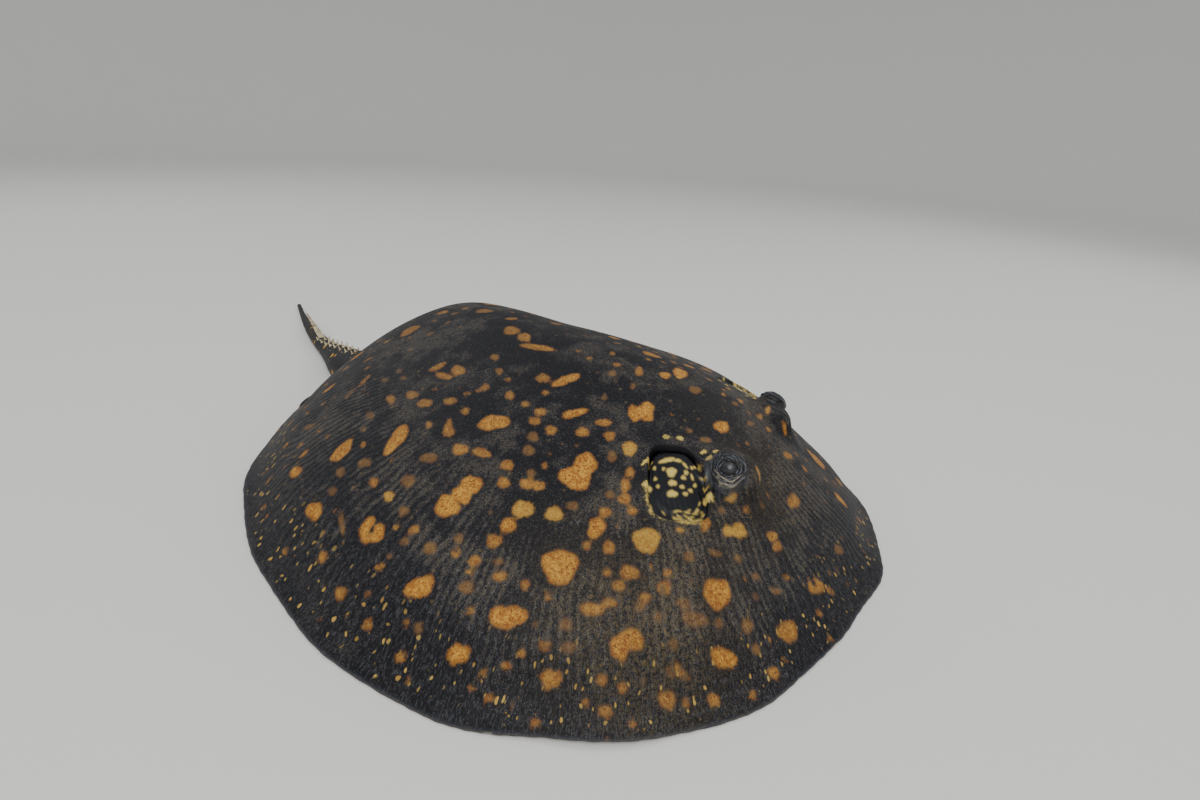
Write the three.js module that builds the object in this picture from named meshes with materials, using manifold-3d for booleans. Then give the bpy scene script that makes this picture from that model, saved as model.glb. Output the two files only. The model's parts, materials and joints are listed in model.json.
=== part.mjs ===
import * as THREE from 'three';
import Module from 'manifold-3d';
import { mergeVertices } from 'three/addons/utils/BufferGeometryUtils.js';

// A large freshwater stingray lying on a flat bottom, body arched, tail laid out behind.
// Millimetres. Its head points to -Y, its left side is +X and its back is +Z.
// A place on the disc is a turn, 0 at the snout and growing to the left side, and a reach,
// 0 at the middle and 1 at the margin.

// Disc: the round body that the pectoral fins make
const DISC_HALF_WIDTH = 280;
const DISC_FRONT_REACH = 250;
const DISC_REAR_REACH = 370;
const DISC_WIDEST_AHEAD = 60;
const DISC_SECTORS = 84;
const BACK_RINGS = 12;
const SOLE_RINGS = 4;
const RING_CROWDING = 1.45;

// Shape of the margin
const SNOUT_NUB = { out: 7, turn: 0, spread: 0.13 };
const LEFT_SNOUT_SIDE = { out: 6, turn: 0.33, spread: 0.2 };
const LEFT_FRONT_DRAWN_IN = { out: -20, turn: 0.95, spread: 0.42 };
const MARGIN_WAVES = [{ out: 1.6, count: 7, phase: 0.6 }, { out: 0.96, count: 17, phase: 0 }];
const MARGIN_POWER = 4;

// Height of the back above the floor
const RIM_THICKNESS = 4.6;
const DOME_HEIGHT = 119;
const DOME_FLATNESS = 2.2;
const DOME_SHOULDER = 0.9;
const DOME_REAR_LEAN = 0.2;
const FIN_THINNING = 0.4;
const FIN_THINNING_FROM = 0.86;
const RIDGE = { rise: 17, halfWidth: 90, y: 45, halfLength: 290 };
const HEAD_SWELL = { rise: 13, halfWidth: 98, y: -185, halfLength: 72 };
const REAR_ARCH = { rise: 37, x: 88, y: 195, halfWidth: 93, halfLength: 124, power: 6 };

// Places where the margin stands clear of the floor
const MARGIN_LIFTS = [
  { rise: 14, turn: 2.84, spread: 0.45 },
  { rise: 9, turn: Math.PI, spread: 0.32 },
  { rise: 2.4, turn: -1.05, spread: 0.2 },
  { rise: 2.0, turn: -2.3, spread: 0.22 },
];

// Underside: a shallow hollow inside a ring of flats that carry the weight
const SOLE_GAP = 1.1;
const SOLE_HOLLOW = 8;
const SOLE_POWER = 1.4;
const SOLE_ARCH_SHARE = 0.1;
const PADS = { count: 9, depth: 5.6, phase: 0.4, reach: 0.86, spread: 0.13 };

// Eyes and spiracles, left side; the right side mirrors them
const EYE_CENTRE = [66, -194, 99];
const EYE_RADIUS = 11.5;
const EYE_FACETS = [14, 8];
const BROW_CENTRE = [55, -190, 88];
const BROW_SIZE = [25, 37, 20];
const BROW_FACETS = [16, 10];
const SPIRACLE_CENTRE = [96, -162, 97];
const SPIRACLE_SIZE = [32, 21, 15];
const SPIRACLE_TILT = 0.4;
const SPIRACLE_FACETS = [16, 8];

// Tail: alongs run from 0 at the root to 1 at the tip
const TAIL_ROOT_Y = 215;
const TAIL_LENGTH = 500;
const TAIL_STATIONS = 26;
const TAIL_SIDES = 18;
const TAIL_HEADING = 0.34;
const TAIL_FIRST_BEND = { by: 0.1, from: 0.05, to: 0.4 };
const TAIL_SECOND_BEND = { by: 0.14, from: 0.4, to: 1 };
const TAIL_WIDTH = {
  root: 78, rootFrom: -0.1, rootTo: 0.5, shaft: 27, shaftFull: 0.3, taper: 0.75, tip: 4.6,
};
const TAIL_HEIGHT = {
  root: 52, rootFrom: -0.05, rootTo: 0.55, shaft: 22, shaftFull: 0.35, taper: 0.72, tip: 4,
};
const TAIL_TAPER_FROM = 0.35;
const TAIL_FLOOR = { rise: 13, from: 0.05, to: 0.3 };
const TAIL_FLAT_BELOW = 0.84;

// Places where the body is parted
const HEAD_CUT_Y = -108;
const TAIL_CUT_BASE_Y = 291;
const TAIL_CUT_MIDDLE = 0.47;
const TAIL_CUT_TIP = 0.74;
const JOIN_GAP = 0.3;
const BODY_FRONT_Y = -345;
const BODY_REAR_Y = 330;
const FAR = 900;

// Sting: a flat tapering blade with saw teeth along both edges, its root sunk in a groove
const STING_LENGTH = 104;
const STING_WIDTH = 9;
const STING_THICKNESS = 3.4;
const STING_TAPER = 0.78;
const STING_TAPER_POWER = 1.6;
const STING_POINT = 5;
const STING_TEETH = 15;
const STING_PLAIN_TEETH = 4;
const STING_TOOTH = { deep: 1.1, long: 1.4 };
const STING_ALONG = 0.53;
const STING_RISE = 0.075;
const STING_SWING = 0.03;
const STING_SUNK = 2.2;
const STING_GROOVE_HEIGHT = 12;

// Thorns along the tail, in three staggered rows
const THORN_COUNT = 22;
const THORN_SIDES = 5;
const THORN_FROM = 0.19;
const THORN_SPAN = 0.33;
const THORN_ROW_GAP = 6.5;
const THORN_HEIGHT = 5.4;
const THORN_ROW_LOSS = 0.6;
const THORN_END_LOSS = 2.2;
const THORN_TALLEST = 0.55;
const THORN_CUT_CLEARANCE = 0.016;
const THORN_LEAN = 0.75;
const THORN_SPLAY = 0.8;
const THORN_RADIUS_SHARE = 0.55;
const THORN_LENGTH_SHARE = 1.9;
const THORN_CENTRE_SHARE = 0.08;

// Pelvic fins: thin paddles under the rear of the disc
const PELVIC_LENGTH = 92;
const PELVIC_WIDTH = 74;
const PELVIC_THICKNESS = 5;
const PELVIC_BEVEL = 1.5;
const PELVIC_SPLAY = 0.12;
const PELVIC_SWING = -0.14;
const PELVIC_ROOT = { x: 15, y: 240, apart: 17 };

// Half width of the head and trunk between the fins, from the snout to the tail
const BODY_STATIONS = [
  [-345, 34],
  [-300, 44],
  [-250, 72],
  [-200, 112],
  [-150, 133],
  [-100, 130],
  [0, 118],
  [100, 98],
  [200, 66],
  [270, 44],
  [330, 42],
];
const BODY_SWING = { by: 38, from: 205, to: 335 };

const wasm = await Module();
wasm.setup();
const { Manifold, Mesh } = wasm;

function smooth(low, high, value) {
  const t = Math.min(Math.max((value - low) / (high - low), 0), 1);
  return t * t * (3 - 2 * t);
}

function bell(distance, width) {
  return Math.exp(-((distance / width) ** 2));
}

// A swell that is full at one turn and fades to both sides of it
function turnBell(turn, place) {
  const gap = turn - place.turn;
  return bell(Math.atan2(Math.sin(gap), Math.cos(gap)), place.spread);
}

// How far the margin stands out from a plain oval
function marginOut(turn) {
  const single = [SNOUT_NUB, LEFT_SNOUT_SIDE, LEFT_FRONT_DRAWN_IN].reduce(
    (sum, place) => sum + place.out * turnBell(turn, place), 0);
  return MARGIN_WAVES.reduce(
    (sum, wave) => sum + wave.out * Math.sin(wave.count * turn + wave.phase), single);
}

// A point of the disc seen from above
function discPoint(turn, reach) {
  const ahead = Math.cos(turn);
  const span = ahead > 0 ? DISC_FRONT_REACH : DISC_REAR_REACH;
  const swell = marginOut(turn) * reach ** MARGIN_POWER;
  const x = Math.sin(turn) * (DISC_HALF_WIDTH * reach + swell);
  const y = -DISC_WIDEST_AHEAD - ahead * (span * reach + swell);
  return [x, y];
}

// Profile of the back from the middle (1) to the thin margin (0)
function domeProfile(reach) {
  const swell = Math.max(1 - reach ** DOME_FLATNESS, 0) ** DOME_SHOULDER;
  return swell * (1 - FIN_THINNING * smooth(FIN_THINNING_FROM, 1, reach));
}

function rearArch(x, y, reach) {
  const across = bell(x - REAR_ARCH.x, REAR_ARCH.halfWidth);
  const lengthwise = bell(y - REAR_ARCH.y, REAR_ARCH.halfLength);
  return REAR_ARCH.rise * (1 - reach ** REAR_ARCH.power) * across * lengthwise;
}

function marginLift(turn, reach) {
  const lift = MARGIN_LIFTS.reduce((sum, place) => sum + place.rise * turnBell(turn, place), 0);
  return lift * reach ** MARGIN_POWER;
}

function backHeight(turn, reach) {
  const [x, y] = discPoint(turn, reach);
  const lean = 1 - DOME_REAR_LEAN * reach * Math.cos(turn);
  const dome = DOME_HEIGHT * domeProfile(reach) * lean;
  const ridgeEnd = Math.max(1 - ((y - RIDGE.y) / RIDGE.halfLength) ** 2, 0);
  const ridge = RIDGE.rise * bell(x, RIDGE.halfWidth) * ridgeEnd;
  const headPlace = bell(y - HEAD_SWELL.y, HEAD_SWELL.halfLength) * bell(x, HEAD_SWELL.halfWidth);
  const head = HEAD_SWELL.rise * headPlace * (1 - reach ** MARGIN_POWER);
  return RIM_THICKNESS + dome + ridge + head + rearArch(x, y, reach) + marginLift(turn, reach);
}

function soleHeight(turn, reach) {
  const [x, y] = discPoint(turn, reach);
  const hollow = SOLE_HOLLOW * (1 - reach * reach) ** SOLE_POWER;
  const arch = SOLE_ARCH_SHARE * rearArch(x, y, reach);
  const padWave = 0.5 + 0.5 * Math.cos(PADS.count * turn + PADS.phase);
  const pads = PADS.depth * padWave * bell(reach - PADS.reach, PADS.spread);
  return Math.max(SOLE_GAP + hollow + arch + marginLift(turn, reach) - pads, 0);
}

// Rings crowd towards the margin, where the back bends most
function ringReach(step, steps) {
  return 1 - (1 - step / steps) ** RING_CROWDING;
}

function geometrySolid(geometry) {
  geometry.deleteAttribute('normal');
  geometry.deleteAttribute('uv');
  const merged = mergeVertices(geometry, 1e-4);
  const mesh = new Mesh({
    numProp: 3,
    vertProperties: new Float32Array(merged.attributes.position.array),
    triVerts: new Uint32Array(merged.index.array),
  });
  return new Manifold(mesh);
}

function toSolid(positions, triangles) {
  const geometry = new THREE.BufferGeometry();
  geometry.setAttribute('position', new THREE.Float32BufferAttribute(positions, 3));
  geometry.setIndex(triangles);
  return geometrySolid(geometry);
}

// Two triangles for each step between two rings of the same count
function ringTriangles(triangles, inner, outer, count, up) {
  for (let i = 0; i < count; i += 1) {
    const j = (i + 1) % count;
    const quad = [inner + i, inner + j, outer + i, outer + j];
    if (up) {
      triangles.push(quad[0], quad[2], quad[3], quad[0], quad[3], quad[1]);
    } else {
      triangles.push(quad[0], quad[3], quad[2], quad[0], quad[1], quad[3]);
    }
  }
}

// The disc as one closed body: a domed back, a thin margin and an arched underside
function makeDisc() {
  const positions = [];
  const triangles = [];
  const addRing = (reach, height) => {
    const start = positions.length / 3;
    for (let i = 0; i < DISC_SECTORS; i += 1) {
      const turn = (2 * Math.PI * i) / DISC_SECTORS;
      const [x, y] = discPoint(turn, reach);
      positions.push(x, y, height(turn, reach));
    }
    return start;
  };
  const addSide = (rings, height, up) => {
    const centre = positions.length / 3;
    positions.push(0, -DISC_WIDEST_AHEAD, height(0, 0));
    let inner = addRing(ringReach(1, rings), height);
    for (let i = 0; i < DISC_SECTORS; i += 1) {
      const j = (i + 1) % DISC_SECTORS;
      triangles.push(centre, inner + (up ? i : j), inner + (up ? j : i));
    }
    for (let step = 2; step <= rings; step += 1) {
      const outer = addRing(ringReach(step, rings), height);
      ringTriangles(triangles, inner, outer, DISC_SECTORS, up);
      inner = outer;
    }
    return inner;
  };
  const topRim = addSide(BACK_RINGS, backHeight, true);
  const bottomRim = addSide(SOLE_RINGS, soleHeight, false);
  ringTriangles(triangles, topRim, bottomRim, DISC_SECTORS, true);
  return toSolid(positions, triangles);
}

// Direction of the tail seen from above: it swings to the left from its root
function tailHeading(along) {
  return [TAIL_FIRST_BEND, TAIL_SECOND_BEND].reduce(
    (heading, bend) => heading + bend.by * smooth(bend.from, bend.to, along), TAIL_HEADING);
}

function tailPath() {
  const points = [];
  const step = TAIL_LENGTH / TAIL_STATIONS;
  let x = 0;
  let y = TAIL_ROOT_Y;
  for (let i = 0; i <= TAIL_STATIONS; i += 1) {
    const along = i / TAIL_STATIONS;
    const heading = tailHeading(along);
    points.push({ along, x, y, heading });
    x += step * Math.sin(heading);
    y += step * Math.cos(heading);
  }
  return points;
}

// Width or height of the tail: a stout root that runs into a slim tapering shaft
function tailSize(size, along) {
  const root = size.root * (1 - smooth(size.rootFrom, size.rootTo, along));
  const shaft = size.shaft * (1 - size.taper * smooth(TAIL_TAPER_FROM, 1, along));
  return Math.max(root + shaft * smooth(0, size.shaftFull, along), size.tip);
}

// Height of the tail's underside: it leaves the raised body and lies flat on the floor
function tailFloor(along) {
  return TAIL_FLOOR.rise * (1 - smooth(TAIL_FLOOR.from, TAIL_FLOOR.to, along));
}

function tailTop(along) {
  return tailFloor(along) + tailSize(TAIL_HEIGHT, along);
}

function tailRing(point) {
  const half = tailSize(TAIL_WIDTH, point.along) / 2;
  const tall = tailSize(TAIL_HEIGHT, point.along);
  const base = tailFloor(point.along);
  const ring = [];
  for (let i = 0; i < TAIL_SIDES; i += 1) {
    const angle = (2 * Math.PI * (i + 0.5)) / TAIL_SIDES;
    const across = half * Math.cos(angle);
    const rise = Math.max(Math.sin(angle), -TAIL_FLAT_BELOW);
    const z = base + (tall * (rise + TAIL_FLAT_BELOW)) / (1 + TAIL_FLAT_BELOW);
    const x = point.x + across * Math.cos(point.heading);
    const y = point.y - across * Math.sin(point.heading);
    ring.push([x, y, z]);
  }
  return ring;
}

function loftRings(rings) {
  const positions = [];
  const triangles = [];
  const sides = rings[0].length;
  for (const ring of rings) {
    for (const point of ring) {
      positions.push(...point);
    }
  }
  for (let k = 0; k + 1 < rings.length; k += 1) {
    ringTriangles(triangles, k * sides, (k + 1) * sides, sides, true);
  }
  const capEnd = (start, flip) => {
    const centre = positions.length / 3;
    const middle = [0, 0, 0];
    for (let i = 0; i < sides; i += 1) {
      for (let c = 0; c < 3; c += 1) {
        middle[c] += positions[(start + i) * 3 + c] / sides;
      }
    }
    positions.push(...middle);
    for (let i = 0; i < sides; i += 1) {
      const j = (i + 1) % sides;
      triangles.push(centre, start + (flip ? j : i), start + (flip ? i : j));
    }
  };
  capEnd(0, false);
  capEnd((rings.length - 1) * sides, true);
  return toSolid(positions, triangles);
}

const TAIL = tailPath();

function tailAt(along) {
  const place = along * TAIL_STATIONS;
  const index = Math.min(Math.floor(place), TAIL_STATIONS - 1);
  const part = place - index;
  const a = TAIL[index];
  const b = TAIL[index + 1];
  const heading = a.heading + (b.heading - a.heading) * part;
  return { along, x: a.x + (b.x - a.x) * part, y: a.y + (b.y - a.y) * part, heading };
}

function makeTail() {
  return loftRings(TAIL.map(tailRing));
}

// A thorn leaning backwards, its root sunk in the skin
function makeThorn(along, offset, height) {
  const point = tailAt(along);
  const aside = offset / (tailSize(TAIL_WIDTH, along) / 2);
  const crown = tailSize(TAIL_HEIGHT, along) / (1 + TAIL_FLAT_BELOW);
  const drop = crown * (1 - Math.sqrt(Math.max(1 - aside ** 2, 0)));
  const geometry = new THREE.ConeGeometry(
    height * THORN_RADIUS_SHARE, height * THORN_LENGTH_SHARE, THORN_SIDES, 1);
  geometry.rotateX(Math.PI / 2 - THORN_LEAN);
  geometry.rotateY(aside * THORN_SPLAY);
  geometry.rotateZ(-point.heading);
  const x = point.x + offset * Math.cos(point.heading);
  const y = point.y - offset * Math.sin(point.heading);
  geometry.translate(x, y, tailTop(along) - drop + height * THORN_CENTRE_SHARE);
  return geometrySolid(geometry);
}

function makeThorns() {
  const thorns = [];
  for (let i = 0; i < THORN_COUNT; i += 1) {
    const along = THORN_FROM + (THORN_SPAN * i) / (THORN_COUNT - 1);
    if (Math.abs(along - TAIL_CUT_MIDDLE) < THORN_CUT_CLEARANCE) {
      continue;
    }
    const row = (i % 3) - 1;
    const endLoss = THORN_END_LOSS * Math.abs(i / THORN_COUNT - THORN_TALLEST);
    const height = THORN_HEIGHT - endLoss - THORN_ROW_LOSS * Math.abs(row);
    thorns.push(makeThorn(along, row * THORN_ROW_GAP, height));
  }
  return thorns.reduce((all, thorn) => all.add(thorn));
}

function placeSting(geometry) {
  const point = tailAt(STING_ALONG);
  geometry.rotateX(STING_RISE);
  geometry.rotateZ(-point.heading - STING_SWING);
  geometry.translate(point.x, point.y, tailTop(STING_ALONG) - STING_SUNK);
  return geometrySolid(geometry);
}

function makeSting() {
  const left = [];
  const right = [];
  for (let i = 0; i <= STING_TEETH; i += 1) {
    const t = i / STING_TEETH;
    const half = (STING_WIDTH / 2) * (1 - STING_TAPER * t ** STING_TAPER_POWER);
    const y = STING_LENGTH * t;
    left.push([-half, y]);
    right.push([half, y]);
    if (i < STING_TEETH && i > STING_PLAIN_TEETH) {
      left.push([-half + STING_TOOTH.deep, y + STING_TOOTH.long]);
      right.push([half - STING_TOOTH.deep, y + STING_TOOTH.long]);
    }
  }
  const outline = [...left, [0, STING_LENGTH + STING_POINT], ...right.reverse()];
  const shape = new THREE.Shape(outline.map(([x, y]) => new THREE.Vector2(x, y)));
  return placeSting(new THREE.ExtrudeGeometry(shape, { depth: STING_THICKNESS, bevelEnabled: false }));
}

// The groove in the tail that the root of the sting lies in
function makeStingGroove() {
  const width = STING_WIDTH + 2 * JOIN_GAP;
  const geometry = new THREE.BoxGeometry(width, STING_LENGTH + 2 * JOIN_GAP, STING_GROOVE_HEIGHT);
  geometry.translate(0, STING_LENGTH / 2, STING_GROOVE_HEIGHT / 2 - JOIN_GAP);
  return placeSting(geometry);
}

// An ellipsoid, its outer end let down by a tilt
function ellipsoid(centre, size, facets, tilt) {
  const geometry = new THREE.SphereGeometry(1, ...facets);
  geometry.rotateX(Math.PI / 2);
  geometry.scale(...size);
  geometry.rotateY(tilt);
  geometry.translate(...centre);
  return geometrySolid(geometry);
}

// The same ellipsoid on the right side and on the left side
function bothSides(centre, size, facets, tilt = 0) {
  return [-1, 1].map((side) =>
    ellipsoid([side * centre[0], centre[1], centre[2]], size, facets, side * tilt));
}

// The rump follows the swing of the tail
function midlineX(y) {
  return BODY_SWING.by * smooth(BODY_SWING.from, BODY_SWING.to, y);
}

// The head and trunk seen from above, between two stations, as an upright prism
function bodyPrism(grow, fromY, toY) {
  const curve = new THREE.SplineCurve(BODY_STATIONS.map(([y, x]) => new THREE.Vector2(x, y)));
  const fine = curve.getPoints(400);
  const nearest = (y) => fine.reduce((best, p) =>
    (Math.abs(p.y - y) < Math.abs(best.y - y) ? p : best));
  const side = curve.getPoints(26).filter((p) => p.y > fromY && p.y < toY);
  const edge = [
    new THREE.Vector2(nearest(fromY).x, fromY),
    ...side,
    new THREE.Vector2(nearest(toY).x, toY),
  ];
  const leftSide = edge.map((p) => new THREE.Vector2(midlineX(p.y) + p.x + grow, p.y));
  const rightSide = edge.map((p) => new THREE.Vector2(midlineX(p.y) - p.x - grow, p.y)).reverse();
  const shape = new THREE.Shape([...leftSide, ...rightSide]);
  const geometry = new THREE.ExtrudeGeometry(shape, { depth: FAR, bevelEnabled: false });
  geometry.translate(0, 0, -FAR / 2);
  return geometrySolid(geometry);
}

// A block that holds everything of the body between two X and behind one Y
function block(lowX, highX, lowY) {
  const geometry = new THREE.BoxGeometry(highX - lowX, FAR - lowY, FAR);
  geometry.translate((highX + lowX) / 2, (FAR + lowY) / 2, 0);
  return geometrySolid(geometry);
}

// Everything of the tail behind one place along it
function tailBehind(along) {
  const start = tailAt(along);
  const geometry = new THREE.BoxGeometry(FAR, FAR, FAR);
  geometry.translate(0, FAR / 2, 0);
  geometry.rotateZ(-start.heading);
  geometry.translate(start.x, start.y, 0);
  return geometrySolid(geometry);
}

// A pelvic fin, side is 1 on the left
function makePelvicFin(side) {
  const wide = side * PELVIC_WIDTH;
  const long = PELVIC_LENGTH;
  const shape = new THREE.Shape();
  shape.moveTo(0, 0);
  shape.bezierCurveTo(wide * 0.3, long * -0.09, wide * 0.8, long * 0.04, wide, long * 0.37);
  shape.bezierCurveTo(wide * 0.98, long * 0.63, wide * 0.6, long * 0.98, wide * 0.34, long);
  shape.bezierCurveTo(wide * 0.16, long * 0.96, wide * 0.03, long * 0.6, 0, 0);
  const geometry = new THREE.ExtrudeGeometry(shape, {
    depth: PELVIC_THICKNESS - 2 * PELVIC_BEVEL,
    bevelEnabled: true,
    bevelThickness: PELVIC_BEVEL,
    bevelSize: PELVIC_BEVEL,
    bevelOffset: -PELVIC_BEVEL,
    bevelSegments: 1,
    curveSegments: 7,
  });
  geometry.translate(0, 0, PELVIC_BEVEL);
  geometry.rotateZ(side * PELVIC_SPLAY + PELVIC_SWING);
  geometry.translate(PELVIC_ROOT.x + side * PELVIC_ROOT.apart, PELVIC_ROOT.y, 0);
  return geometrySolid(geometry);
}

// Drops the crumbs that a cut can leave where it grazes a thorn
function mainPiece(solid) {
  return solid.decompose().reduce((best, piece) =>
    (piece.volume() > best.volume() ? piece : best));
}

function finish(name, solid, color, roughness) {
  const data = mainPiece(solid).getMesh();
  const geometry = new THREE.BufferGeometry();
  geometry.setAttribute('position', new THREE.Float32BufferAttribute(data.vertProperties, 3));
  geometry.setIndex(Array.from(data.triVerts));
  const material = new THREE.MeshStandardMaterial({ color, roughness });
  const mesh = new THREE.Mesh(geometry, material);
  mesh.name = name;
  return mesh;
}

function cutAway(solid, cutters) {
  return cutters.reduce((left, cutter) => left.subtract(cutter), solid);
}

const brows = bothSides(BROW_CENTRE, BROW_SIZE, BROW_FACETS);
const spiracles = bothSides(SPIRACLE_CENTRE, SPIRACLE_SIZE, SPIRACLE_FACETS, SPIRACLE_TILT);
const eyes = bothSides(EYE_CENTRE, Array(3).fill(EYE_RADIUS), EYE_FACETS);
const eyeSockets = bothSides(EYE_CENTRE, Array(3).fill(EYE_RADIUS + JOIN_GAP), EYE_FACETS);
const sting = makeSting();
const tail = makeTail().add(makeThorns()).subtract(makeStingGroove());
const body = cutAway(makeDisc().add(brows[0]).add(brows[1]), [...spiracles, ...eyeSockets]);
const whole = body.add(tail);

const head = whole.intersect(bodyPrism(0, BODY_FRONT_Y, HEAD_CUT_Y));
const trunk = whole.intersect(bodyPrism(0, HEAD_CUT_Y + JOIN_GAP, TAIL_CUT_BASE_Y));
const fins = body.subtract(bodyPrism(JOIN_GAP, BODY_FRONT_Y, BODY_REAR_Y));
const leftFin = fins.intersect(block(0, FAR, -FAR));
const rightFin = fins.intersect(block(-FAR, 0, -FAR));
const rump = whole.intersect(bodyPrism(0, TAIL_CUT_BASE_Y + JOIN_GAP, BODY_REAR_Y));
const tailRest = tail.intersect(block(-FAR, FAR, BODY_REAR_Y - 1));
const tailBase = rump.add(tailRest).subtract(tailBehind(TAIL_CUT_MIDDLE));
const gapAlong = JOIN_GAP / TAIL_LENGTH;
const tailMiddle = tail.intersect(tailBehind(TAIL_CUT_MIDDLE + gapAlong))
  .subtract(tailBehind(TAIL_CUT_TIP));
const tailTip = tail.intersect(tailBehind(TAIL_CUT_TIP + gapAlong));
const pelvicKeepOut = whole.add(whole.translate([0, 0, -JOIN_GAP]));
const pelvics = [-1, 1].map((side) => makePelvicFin(side).subtract(pelvicKeepOut));

const NODES = [
  ['head', head, '#22211f', 0.45],
  ['trunk', trunk, '#201f1e', 0.45],
  ['pectoral_fin_left', leftFin, '#1f1f20', 0.45],
  ['pectoral_fin_right', rightFin, '#1f1f20', 0.45],
  ['pelvic_fin_left', pelvics[1], '#26231f', 0.5],
  ['pelvic_fin_right', pelvics[0], '#26231f', 0.5],
  ['tail_base', tailBase, '#24211e', 0.5],
  ['tail_middle', tailMiddle, '#24211e', 0.5],
  ['tail_tip', tailTip, '#24211e', 0.5],
  ['tail_sting', sting, '#c9bfa6', 0.35],
  ['eye_left', eyes[1], '#3b4350', 0.12],
  ['eye_right', eyes[0], '#3b4350', 0.12],
];

const group = new THREE.Group();
for (const [name, solid, color, roughness] of NODES) {
  group.add(finish(name, solid, color, roughness));
}

// The origin goes to the middle of the whole animal, at floor level
const bounds = new THREE.Box3().setFromObject(group);
const shift = [-(bounds.min.x + bounds.max.x) / 2, -(bounds.min.y + bounds.max.y) / 2, -bounds.min.z];
for (const mesh of group.children) {
  mesh.geometry.translate(...shift);
}

export default group;
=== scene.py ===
"""A large freshwater stingray lying still with its back arched, as a museum shows it.

Metres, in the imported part's frame. The animal's own numbers are in millimetres in a frame whose
origin is the middle of its disc: +X to its left, +Y to its tail, +Z up.
"""

import json
import logging
import math
from dataclasses import dataclass, replace
from enum import Enum
from typing import Any, Callable, ClassVar, Sequence

import bmesh
import bpy
import numpy as np
from mathutils import Matrix, Vector

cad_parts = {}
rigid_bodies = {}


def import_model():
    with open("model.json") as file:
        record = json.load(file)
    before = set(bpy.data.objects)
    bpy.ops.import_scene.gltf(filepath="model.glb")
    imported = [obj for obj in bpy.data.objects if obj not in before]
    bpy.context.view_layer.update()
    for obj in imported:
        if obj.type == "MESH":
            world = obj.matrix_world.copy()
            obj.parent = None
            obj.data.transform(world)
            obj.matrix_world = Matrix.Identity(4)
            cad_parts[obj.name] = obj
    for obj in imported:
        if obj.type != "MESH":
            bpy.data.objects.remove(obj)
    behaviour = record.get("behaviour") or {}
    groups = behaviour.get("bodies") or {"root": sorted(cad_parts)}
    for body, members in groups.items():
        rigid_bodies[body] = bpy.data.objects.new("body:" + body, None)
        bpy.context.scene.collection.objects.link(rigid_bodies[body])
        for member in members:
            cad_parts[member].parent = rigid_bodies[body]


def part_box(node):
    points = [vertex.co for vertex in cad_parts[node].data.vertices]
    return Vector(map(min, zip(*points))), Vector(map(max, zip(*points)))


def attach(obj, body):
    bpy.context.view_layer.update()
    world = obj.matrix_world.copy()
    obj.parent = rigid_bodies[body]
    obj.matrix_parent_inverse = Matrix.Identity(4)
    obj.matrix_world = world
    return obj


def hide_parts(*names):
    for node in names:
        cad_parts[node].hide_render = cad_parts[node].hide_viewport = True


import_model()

LOG = logging.getLogger("stingray")
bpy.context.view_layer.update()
MM = 0.001
Array = np.ndarray
Rows = tuple[tuple[float, ...], ...]


# ---------------------------------------------------------------- shapes of curves


def smooth(low: float, high: float, value: Array) -> Array:
    """A soft step from 0 at low to 1 at high."""
    t = np.clip((value - low) / (high - low), 0.0, 1.0)
    return t * t * (3.0 - 2.0 * t)


def bell(distance: Array, width: float) -> Array:
    """A swell that is 1 where distance is 0 and fades over width."""
    return np.exp(-((distance / width) ** 2))


def turn_gap(turn: Array, centre: float) -> Array:
    """The shorter way round from centre to turn, in radians."""
    gap = turn - centre
    return np.arctan2(np.sin(gap), np.cos(gap))


def soft_max(first: Array, second: Array, blend: float) -> Array:
    """The higher of two heights, rounded where they cross, over blend either way."""
    share = np.clip(0.5 + 0.5 * (first - second) / blend, 0.0, 1.0)
    return second * (1 - share) + first * share + blend * share * (1 - share)


@dataclass(frozen=True)
class TurnSwell:
    """A swell of the margin: full at one turn, fading over spread."""

    size: float
    turn: float
    spread: float

    def at(self, turn: Array) -> Array:
        """The swell at each turn."""
        return self.size * bell(turn_gap(turn, self.turn), self.spread)


# ---------------------------------------------------------------- the animal's form


@dataclass(frozen=True)
class Hump:
    """A soft hump of the back, in millimetres: it fades over wide to the sides and over long fore and aft."""

    height: float
    x: float
    y: float
    wide: float
    long: float

    def at(self, x: Array, y: Array) -> Array:
        """Its height at points seen from above."""
        return self.height * bell(x - self.x, self.wide) * bell(y - self.y, self.long)


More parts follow.
